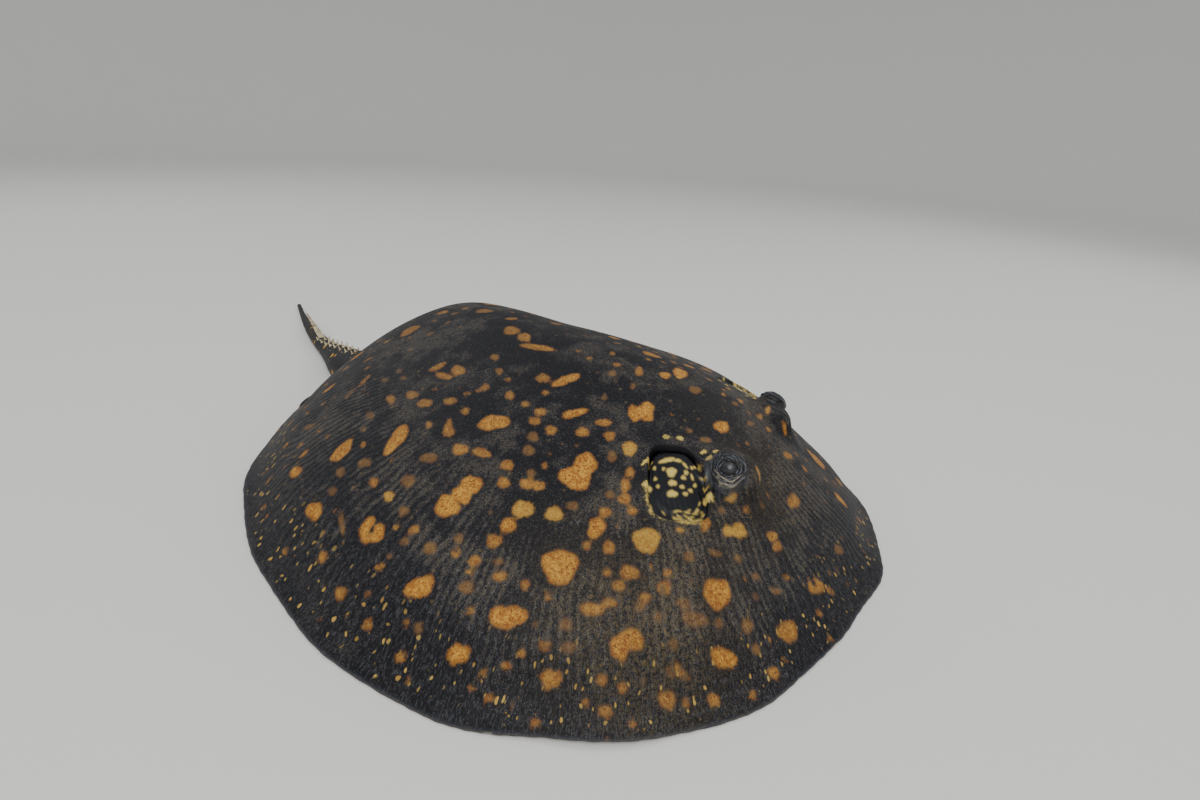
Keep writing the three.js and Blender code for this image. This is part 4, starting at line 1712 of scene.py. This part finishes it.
def hex_colour(text: str) -> Colour:
    """A six-digit hexadecimal colour as linear light.

    Args:
        text: Its digits.

    Returns:
        Red, green and blue.
    """
    parts = [int(text[i:i + 2], 16) / 255 for i in (0, 2, 4)]
    red, green, blue = (p / 12.92 if p <= 0.04045 else ((p + 0.055) / 1.055) ** 2.4 for p in parts)
    return red, green, blue


class Value:
    """A number that changes over a surface, for use in sums."""

    def __init__(self, graph: "Graph", socket: bpy.types.NodeSocket) -> None:
        """Wraps an output socket."""
        self.graph = graph
        self.socket = socket

    def sum(self, operation: str, *others: "Value | float") -> "Value":
        """One Math node on this value and others."""
        values = dict(enumerate((self, *others)))
        return self.graph.add("ShaderNodeMath", {"operation": operation}, values)

    def reverse(self, operation: str, other: float) -> "Value":
        """One Math node with a plain number first."""
        return self.graph.add("ShaderNodeMath", {"operation": operation}, {0: other, 1: self})

    def __add__(self, other: "Value | float") -> "Value":
        """Sum."""
        return self.sum("ADD", other)

    def __sub__(self, other: "Value | float") -> "Value":
        """Difference."""
        return self.sum("SUBTRACT", other)

    def __rsub__(self, other: float) -> "Value":
        """Difference from a number."""
        return self.reverse("SUBTRACT", other)

    def __mul__(self, other: "Value | float") -> "Value":
        """Product."""
        return self.sum("MULTIPLY", other)

    def __gt__(self, other: "Value | float") -> "Value":
        """1 where this is the greater."""
        return self.sum("GREATER_THAN", other)

    __radd__ = __add__
    __rmul__ = __mul__

    def step(self, low: float, high: float) -> "Value":
        """A soft step from 0 at low to 1 at high."""
        ends = {0: self, 1: low, 2: high, 3: 0.0, 4: 1.0}
        return self.graph.add("ShaderNodeMapRange", {"interpolation_type": "SMOOTHSTEP"}, ends)

    def kept(self) -> "Value":
        """The value held between 0 and 1."""
        return self.graph.add("ShaderNodeClamp", {}, {0: self, 1: 0.0, 2: 1.0})


class Graph:
    """The nodes of one material."""

    def __init__(self, name: str) -> None:
        """Starts an empty material.

        Args:
            name: The name of the material.
        """
        self.material = bpy.data.materials.new(name)
        self.material.use_nodes = True
        self.tree = self.material.node_tree
        self.tree.nodes.clear()

    def add(
        self, kind: str, settings: dict[str, Any], inputs: dict[int | str, Any], output: int | str = 0
    ) -> Value:
        """Adds a node.

        Args:
            kind: The node's type.
            settings: Its settings.
            inputs: Values or links by socket.
            output: The socket to give back.

        Returns:
            The output.
        """
        node = self.tree.nodes.new(kind)
        for key, value in settings.items():
            setattr(node, key, value)
        for key, value in inputs.items():
            if isinstance(value, Value):
                self.tree.links.new(value.socket, node.inputs[key])
            elif isinstance(value, tuple) and len(value) == 3 and node.inputs[key].type == "RGBA":
                node.inputs[key].default_value = (*value, 1.0)
            else:
                node.inputs[key].default_value = value
        return Value(self, node.outputs[output])

    def millimetres(self) -> Value:
        """The place on the piece in millimetres."""
        place = self.add("ShaderNodeTexCoord", {}, {}, "Object")
        return self.scaled(place, 1 / MM)

    def scaled(self, vector: Value, size: float | tuple[float, float, float]) -> Value:
        """A vector stretched by one size or by three."""
        by = size if isinstance(size, tuple) else (size, size, size)
        return self.add("ShaderNodeVectorMath", {"operation": "MULTIPLY"}, {0: vector, 1: by})

    def moved(self, vector: Value, by: Value | tuple[float, float, float]) -> Value:
        """A vector with another added."""
        return self.add("ShaderNodeVectorMath", {"operation": "ADD"}, {0: vector, 1: by})

    def joined(self, x: Value | float, y: Value | float, z: Value | float = 0.0) -> Value:
        """A vector of three numbers."""
        return self.add("ShaderNodeCombineXYZ", {}, {0: x, 1: y, 2: z})

    def part(self, vector: Value, axis: int) -> Value:
        """One number of a vector."""
        return self.add("ShaderNodeSeparateXYZ", {}, {0: vector}, axis)

    def length(self, vector: Value) -> Value:
        """The length of a vector."""
        return self.add("ShaderNodeVectorMath", {"operation": "LENGTH"}, {0: vector}, "Value")

    def noted(self, name: str, vector: bool = False) -> Value:
        """A number or vector noted on the mesh."""
        return self.add("ShaderNodeAttribute", {"attribute_name": name}, {}, "Vector" if vector else "Fac")

    def noise(self, place: Value, size: float, detail: float, rough: float, output: int = 0) -> Value:
        """Smooth noise whose features are about size across: its height, or as output 1 its colour."""
        sockets = {"Vector": place, "Scale": 1 / size, "Detail": detail, "Roughness": rough}
        return self.add("ShaderNodeTexNoise", {}, sockets, output)

    def cells(self, place: Value, size: float, output: str = "Distance") -> Value:
        """Scattered cell centres about size apart: the distance to the nearest, or its random colour."""
        return self.add("ShaderNodeTexVoronoi", {}, {"Vector": place, "Scale": 1 / size}, output)

    def mix(self, share: Value | float, first: Value | Colour, second: Value | Colour) -> Value:
        """First and second colours mixed by share."""
        return self.add("ShaderNodeMix", {"data_type": "RGBA"}, {0: share, 6: first, 7: second}, 2)

    def bump(self, height: Value, strength: float, distance_mm: float) -> Value:
        """A normal from a height."""
        sockets = {"Strength": strength, "Distance": distance_mm * MM, "Height": height}
        return self.add("ShaderNodeBump", {}, sockets)

    def surface(self, sockets: dict[str, Any]) -> bpy.types.Material:
        """Ends the material with one shader.

        Args:
            sockets: Values or links by socket.

        Returns:
            The material.
        """
        shader = self.add("ShaderNodeBsdfPrincipled", {}, sockets)
        node = self.tree.nodes.new("ShaderNodeOutputMaterial")
        self.tree.links.new(shader.socket, node.inputs["Surface"])
        return self.material


# ---------------------------------------------------------------- finishes


@dataclass(frozen=True)
class SkinFinish:
    """Blue-black skin, speckled olive grey, with orange, yellow and cream spots. Sizes in millimetres."""

    black: Colour = hex_colour("08080f")
    ground: Colour = hex_colour("181822")
    olive: Colour = hex_colour("4d463a")
    fleck: Colour = hex_colour("6c6b6f")
    orange: Colour = hex_colour("8a4f17")
    amber: Colour = hex_colour("cf9a3c")
    yellow: Colour = hex_colour("cda342")
    cream: Colour = hex_colour("ceb45e")
    dust: Colour = hex_colour("6e5c38")
    rust: Colour = hex_colour("6c4a28")
    belly: Colour = hex_colour("d8cdb8")
    # Painted highlight: slate for the crests of the eye lids' rings and folds.
    slate: Colour = hex_colour("63676f")
    rim: Colour = hex_colour("4f535c")
    streak: Colour = hex_colour("54555a")
    # Partly the skin's own colour inside the slits and partly painted shade, by how deep they go.
    slit: Colour = hex_colour("5a3f38")
    # Painted shade: near-black for the deep gap round each spiracle's valve.
    gap: Colour = (0.0008, 0.0009, 0.0012)
    # Painted shade: near-black where the lids meet the eyeballs.
    socket: Colour = (0.002, 0.002, 0.003)
    arc: float = 280.0
    ring: float = 2.0
    band: float = 8.0
    dot_cell: float = 4.6
    mote_cell: float = 10.0
    blot_cell: float = 17.0

    def build(self) -> bpy.types.Material:
        """The material."""
        return SkinShader(self).material()


class SkinShader:
    """The nodes of the skin: what its layers share, and one method for each layer."""

    def __init__(self, look: SkinFinish) -> None:
        """Starts the graph with the noises and notes that the layers share.

        Args:
            look: The skin's colours and sizes.
        """
        self.look = look
        self.g = g = Graph("ray_skin")
        self.mm = mm = g.millimetres()
        self.grain, self.flecks = g.noise(mm, 0.9, 2, 0.6), g.noise(mm, 2.5, 3, 0.65)
        self.mottle, self.clouds = g.noise(mm, 17, 3, 0.6), g.noise(mm, 62, 2, 0.5)
        self.hole, self.gap, self.lid = g.noted("hole"), g.noted("gap"), g.noted("lid")
        self.on_tail, self.film, self.tone = g.noted("tail"), g.noted("film"), g.noted("tone")
        ray = g.noted("ray", True)
        self.reach = g.length(ray)
        turn = g.part(ray, 0).sum("ARCTAN2", g.part(ray, 1))
        self.out = g.joined(turn * look.arc, self.reach * look.arc)
        self.rays = g.noise(g.scaled(self.out, (1.0, 0.34, 1.0)), 1.2, 2, 0.6)
        self.bands = self.banding(turn)
        self.outer = self.reach.step(0.8, 0.93)
        self.banded = self.reach.step(0.5, 0.74) * (1 - self.reach.step(0.9, 0.97))
        torn = (self.flecks - 0.5) * 5.0 + (self.grain - 0.5) * 3.6
        self.edge = g.noted("spot") * 10 + torn * (1 - self.hole * 0.85)
        self.within = 1 - self.edge.step(-1.3, 1.1)
        self.pins = (1 - g.cells(mm, 3.4).step(0.1, 0.2)) * (1 - self.tone * 0.8)
        self.lid_place = g.noted("lid_place", True)
        self.lid_rings = self.ringing()

    def banding(self, turn: Value) -> Value:
        """Bands that run out to the margin, a little bent.

        Args:
            turn: The turn at each point.

        Returns:
            A number from 0 to 1.
        """
        bend = self.g.noise(self.mm, 40, 1, 0.5)
        waves = turn * (self.look.arc * 2 * math.pi / self.look.band) + bend * 16 + self.rays * 2
        return waves.sum("SINE") * 0.5 + 0.5

    def ringing(self) -> Value:
        """Wrinkles in rings round the eyes, from -1 to 1."""
        stir = self.g.noise(self.lid_place, 5.0, 2, 0.5)
        return (self.g.part(self.lid_place, 0) * (2 * math.pi / self.look.ring) + stir * 9.0).sum("SINE")

    def ground(self) -> Value:
        """Black skin with paler clouds, specks, flecks, streaks near the margin and dust, painted shade over
        the rear of the back and between the eyes, and painted light and shade on the fin-ray bands.

        Returns:
            The colour.
        """
        g, look = self.g, self.look
        clear = (self.clouds * 0.5 + self.mottle * 0.5).step(0.4, 0.6)
        # Darker round large spots, and darker still under the painted shade of the dark patches.
        pale = clear * (1 - self.outer * 0.6) - g.noted("spot_halo_and_shade") * 0.55
        # Painted light and shade: the ground is paler on the fin-ray bands' ridges, which the bump also
        # raises, and darker between them.
        pale = (pale + (self.bands - 0.6) * self.banded * 0.75).kept()
        base = g.mix(pale * 0.62 + self.grain.step(0.45, 0.75) * 0.2, look.black, look.ground)
        specks = (self.grain * 0.65 + self.flecks * 0.35 + pale * 0.1).step(0.52, 0.62)
        base = g.mix(specks * (pale * 0.75 + 0.12), base, look.olive)
        flecks = 1 - g.cells(self.mm, 1.7).step(0.14, 0.3)
        base = g.mix(flecks * (pale * 0.45 + 0.3), base, look.fleck)
        streaks = self.rays.step(0.5, 0.64) * self.reach.step(0.6, 0.9)
        base = g.mix(streaks * 0.34, base, look.streak)
        powder = (self.flecks * 0.5 + self.grain * 0.5).step(0.42, 0.6)
        return g.mix(self.film * powder * 0.45, base, look.dust)

    def head(self, base: Value) -> Value:
        """Darkens the breathing holes, puts painted shade in the gap round each valve, and draws the lids'
        wrinkles with painted highlights on their crests.

        Args:
            base: The colour so far.

        Returns:
            The new colour.
        """
        g, look = self.g, self.look
        base = g.mix(self.hole, base, look.black)
        # Painted shade: the gap round the valve's free edge is made near-black.
        base = g.mix(self.gap, base, look.gap)
        # Painted highlight: the crests of the lids' rings are painted slate over the darkened lids.
        crest_highlights = self.lid_rings.step(0.1, 0.9) * g.noise(self.lid_place, 2.2, 2, 0.6).step(0.42, 0.62)
        base = g.mix(self.lid * 0.75, base, look.black)
        base = g.mix(self.lid * crest_highlights * 0.85, base, look.slate)
        # Painted highlight on the crests of the lids' folds.
        return g.mix(self.lid * g.noted("fold") * 0.22, base, look.slate)

    def motes(self, base: Value) -> Value:
        """Adds sparse motes to the open skin.

        Args:
            base: The colour so far.

        Returns:
            The new colour.
        """
        g, cell = self.g, self.look.mote_cell
        chance = g.cells(self.mm, cell, "Color")
        motes = 1 - (g.cells(self.mm, cell) - g.part(chance, 0) * 0.1).step(0.02, 0.1)
        motes = motes * (g.part(chance, 1) > 0.45) * 0.4 * (1 - self.outer)
        return g.mix(motes * (1 - self.hole) * (1 - self.lid), base, self.look.dust)

    def spots(self, base: Value) -> Value:
        """Adds the spots, golden and orange inside and browner at their edges.

        Args:
            base: The colour so far.

        Returns:
            The new colour.
        """
        g, look, tone = self.g, self.look, self.tone
        gold = self.mottle.step(0.3, 0.7) * 0.35 + (self.flecks - 0.5) * 3.0
        gold = (gold + (self.grain - 0.5) * 3.4 + 0.26).kept()
        warm = g.mix(gold, look.orange, look.amber)
        toned = g.mix(tone.step(0.0, 0.5), warm, g.mix(gold * 0.7 + 0.3, look.orange, look.yellow))
        toned = g.mix(tone.step(0.5, 1.0), toned, look.cream)
        toned = g.mix(self.edge.step(-3.2, 0.4) * 0.35 * (1 - tone * 0.8), toned, look.rust)
        toned = g.mix(self.pins * 0.8, toned, look.black)
        dim = g.noted("dim")
        toned = g.mix(dim * 0.6, toned, look.olive)
        shown = self.within * (1 - dim * (0.3 + self.flecks * 0.6)) * (1 - self.film * 0.25)
        return g.mix(shown * (1 - self.gap * 0.9) * (1 - self.lid * 0.95), base, toned)

    def margin(self, colour: Value) -> Value:
        """Adds fine dots of many sizes along the margin, and a paler rim.

        Args:
            colour: The colour so far.

        Returns:
            The new colour.
        """
        g, look, reach = self.g, self.look, self.reach
        strewn = g.moved(self.out, g.scaled(g.noise(self.mm, 9.0, 1, 0.5, 1), 5.0))
        place = g.scaled(strewn, (1.0, 0.8, 1.0))
        chance = g.cells(place, look.dot_cell, "Color")
        size = g.part(chance, 0)
        dots = 1 - (g.cells(place, look.dot_cell) - size * 0.16).step(0.07, 0.17)
        dots = dots * (g.part(chance, 1) > 0.3) * reach.step(0.81, 0.95) * (1 - reach.step(0.982, 0.99))
        dot_colour = g.mix(g.part(chance, 2), look.amber, look.cream)
        colour = g.mix(dots * (size * 0.5 + 0.24) * (1 - self.within), colour, dot_colour)
        return g.mix(reach.step(0.992, 1.0) * 0.35 * (1 - self.on_tail), colour, look.rim)

    def tail(self, base: Value, colour: Value) -> Value:
        """Gives the tail its faint rings and amber blots.

        Args:
            base: The colour of plain skin.
            colour: The colour so far.

        Returns:
            The new colour.
        """
        g, look = self.g, self.look
        shaft = g.noted("shaft", True)
        along = g.part(shaft, 0)
        place = g.scaled(shaft, 100.0)
        chance = g.part(g.cells(place, look.blot_cell, "Color"), 0)
        blots = 1 - (g.cells(place, look.blot_cell) + (self.flecks - 0.5) * 0.2).step(0.16, 0.26)
        rings = (along * 2.4 + self.mottle * 2.0).sum("SINE").step(0.1, 0.7) * along.step(2.2, 3.6)
        skin = g.mix(rings * 0.12, g.mix(0.35, base, look.black), look.dust)
        skin = g.mix(blots * (chance > 0.3) * 0.75, skin, look.amber)
        return g.mix(self.on_tail, colour, skin)

    def underside(self, colour: Value) -> Value:
        """Adds the pale blotched underside with its slits, darker inside as partly painted shade, and the eye
        sockets in near-black painted shade.

        Args:
            colour: The colour so far.

        Returns:
            The new colour.
        """
        g, look = self.g, self.look
        blotch = self.mottle * 0.6 + self.clouds * 0.4 + self.reach.step(0.72, 0.95) * 0.35
        pale = g.mix(blotch.step(0.66, 0.74) * 0.85, look.belly, look.ground)
        # Inside the mouth, nostrils, gill slits and vent: darker the deeper they go, partly their own colour
        # and partly painted shade.
        pale = g.mix(g.noted("slit") * 0.75, pale, look.slit)
        colour = g.mix(g.noted("belly"), colour, pale)
        # Painted shade: near-black round each eyeball, where the lid is drawn into its socket.
        return g.mix(g.noted("socket"), colour, look.socket)

    def relief(self) -> Value:
        """The height of the fine relief.

        Returns:
            The height.
        """
        ridges = self.rays * self.outer * 0.6 + self.bands * self.banded * 0.9
        height = self.grain * 0.35 + self.flecks * 0.35 + ridges + self.within * 0.12 + self.pins * -0.2
        return height + self.lid_rings * self.lid * 0.5

    def material(self) -> bpy.types.Material:
        """Puts all the layers on one shader.

        Returns:
            The material.
        """
        base = self.motes(self.head(self.ground()))
        colour = self.tail(base, self.margin(self.spots(base)))
        return self.g.surface({
            "Base Color": self.underside(colour),
            "Roughness": 0.62 - self.hole * 0.22 - self.lid * 0.16 + (self.grain - 0.5) * 0.16,
            "Specular IOR Level": 0.24,
            "Normal": self.g.bump(self.relief(), 0.5, 0.9),
        })


@dataclass(frozen=True)
class EyeFinish:
    """A dark iris with pale flecks round a black pupil, under clear gloss."""

    pupil: Colour = hex_colour("050608")
    iris: Colour = hex_colour("12161e")
    fleck: Colour = hex_colour("4a4a40")
    white: Colour = hex_colour("20242b")

    def build(self) -> bpy.types.Material:
        """Builds the iris, the pupil under its flap and the gloss.

        Returns:
            The material.
        """
        g = Graph("ray_eye")
        sight = g.noted("sight", True)
        off = g.noted("off_axis")
        x, y = g.part(sight, 0), g.part(sight, 1)
        bearing = y.sum("ARCTAN2", x)
        threads = g.noise(g.joined(bearing * 9.0, off * 5.0), 1.0, 3, 0.6)
        iris = g.mix(threads.step(0.45, 0.75), self.iris, self.fleck)
        slit = g.length(g.joined(x, y * 1.9 + 0.04))
        flap = g.length(g.joined(x * 1.35, (y - 0.17) * 1.4)) + bearing.sum("SINE") * 0.02
        pupil = (1 - slit.step(0.3, 0.33)) * flap.step(0.2, 0.22)
        colour = g.mix(pupil, iris, self.pupil)
        colour = g.mix(off.step(0.5, 0.66), colour, self.white)
        return g.surface({
            "Base Color": colour, "Roughness": 0.4, "Coat Weight": 0.3, "Coat Roughness": 0.1,
            "Normal": g.bump(threads, 0.15, 0.2),
        })


@dataclass(frozen=True)
class BoneFinish:
    """Old ivory, browner where a noise stains it."""

    ivory: Colour = hex_colour("cbbd98")
    brown: Colour = hex_colour("6f5a3c")

    def build(self, name: str, grain_mm: float) -> bpy.types.Material:
        """The material.

        Args:
            name: Its name.
            grain_mm: The size of its grain.

        Returns:
            The material.
        """
        g = Graph(name)
        mm = g.millimetres()
        grain, stain = g.noise(mm, grain_mm, 3, 0.6), g.noise(mm, grain_mm * 9, 2, 0.5)
        colour = g.mix((grain * 0.6 + stain * 0.5).step(0.42, 0.75), self.ivory, self.brown)
        return g.surface({
            "Base Color": colour, "Roughness": 0.42 + grain * 0.2,
            "Normal": g.bump(grain, 0.35, 0.35),
        })


# ---------------------------------------------------------------- the stage


@dataclass(frozen=True)
class Stage:
    """A pale floor that sweeps up into a wall, soft light and the camera. Metres."""

    floor_out: float = 4.0
    sweep: float = 1.4
    wall_top: float = 4.0
    sides: int = 96
    floor_colour: Colour = hex_colour("dedcd8")
    lens: float = 18.0
    place: tuple[float, float, float] = (-0.4548, -0.4486, 0.3289)
    heading: float = 26.17
    pitch: float = 24.87
    roll: float = -3.58
    world: float = 0.72

    def floor(self) -> bpy.types.Object:
        """Builds the floor and wall.

        Returns:
            The floor.
        """
        bm = bmesh.new()
        corner = Vector((self.floor_out, 0, self.sweep))
        points = [Vector((0, 0, 0)), Vector((self.floor_out, 0, 0))]
        for a in np.linspace(0.1, math.pi / 2, 15):
            points.append(corner + self.sweep * Vector((math.sin(a), 0, -math.cos(a))))
        points.append(Vector((self.floor_out + self.sweep, 0, self.wall_top)))
        verts = [bm.verts.new(p) for p in points]
        edges = [bm.edges.new(pair) for pair in zip(verts, verts[1:])]
        bmesh.ops.spin(
            bm, geom=[*verts, *edges], axis=(0, 0, 1), cent=(0, 0, 0), angle=2 * math.pi, steps=self.sides,
            use_merge=True,
        )
        bmesh.ops.remove_doubles(bm, verts=bm.verts, dist=0.0005)
        bmesh.ops.recalc_face_normals(bm, faces=bm.faces)
        mesh = to_mesh(bm, "studio_floor")
        mesh.polygons.foreach_set("use_smooth", np.ones(len(mesh.polygons), dtype=bool))
        g = Graph("studio_floor")
        mesh.materials.append(g.surface({"Base Color": self.floor_colour, "Roughness": 0.9}))
        floor = bpy.data.objects.new("studio_floor", mesh)
        bpy.context.scene.collection.objects.link(floor)
        return floor

    def light(
        self, name: str, place: tuple[float, float, float], size: float, power: float
    ) -> bpy.types.Object:
        """A square soft light aimed at the animal.

        Args:
            name: Its name.
            place: Where it is.
            size: Its side.
            power: Its power in watts.

        Returns:
            The light.
        """
        data = bpy.data.lights.new(name, "AREA")
        data.size, data.energy = size, power
        lamp = bpy.data.objects.new(name, data)
        lamp.location = place
        lamp.rotation_euler = (-Vector(place)).to_track_quat("-Z", "Y").to_euler()
        bpy.context.scene.collection.objects.link(lamp)
        return lamp

    def camera(self) -> bpy.types.Object:
        """Places the camera, low over the animal's right front.

        Returns:
            The camera.
        """
        data = bpy.data.cameras.new("camera")
        data.lens, data.sensor_width = self.lens, 36.0
        data.clip_start = 0.01
        camera = bpy.data.objects.new("camera", data)
        a, p, r = (math.radians(v) for v in (self.heading, self.pitch, self.roll))
        ahead = Vector((math.cos(p) * math.cos(a), math.cos(p) * math.sin(a), -math.sin(p)))
        right = Vector((math.sin(a), -math.cos(a), 0))
        up = right.cross(ahead)
        right, up = right * math.cos(r) - up * math.sin(r), right * math.sin(r) + up * math.cos(r)
        turned = Matrix((right, up, -ahead)).transposed().to_4x4()
        camera.matrix_world = Matrix.Translation(self.place) @ turned
        bpy.context.scene.collection.objects.link(camera)
        bpy.context.scene.camera = camera
        return camera

    def build(self) -> None:
        """Builds the stage."""
        floor = self.floor()
        lights = [
            self.light("key_light", (-1.3, -0.9, 1.9), 1.5, 34.0),
            self.light("fill_light", (1.6, -1.2, 1.5), 1.8, 10.0),
            self.light("back_light", (0.3, 1.9, 1.7), 1.4, 9.0),
        ]
        self.camera()
        world = bpy.data.worlds.new("soft_light")
        world.use_nodes = True
        world.node_tree.nodes["Background"].inputs[0].default_value = (0.92, 0.96, 1.0, 1.0)
        world.node_tree.nodes["Background"].inputs[1].default_value = self.world
        bpy.context.scene.world = world


def main() -> None:
    """Builds the animal and its stage."""
    logging.basicConfig(level=logging.INFO, format="%(name)s: %(message)s")
    bone = BoneFinish()
    Skin(Markings()).build(SkinFinish().build())
    eye = EyeFinish().build()
    for side in SIDES:
        EyeBall().build(side, eye)
    Sting().build(bone.build("sting_bone", 0.9))
    Thorns().build(bone.build("thorn_bone", 0.6))
    Stage().build()


if __name__ == "__main__":
    main()
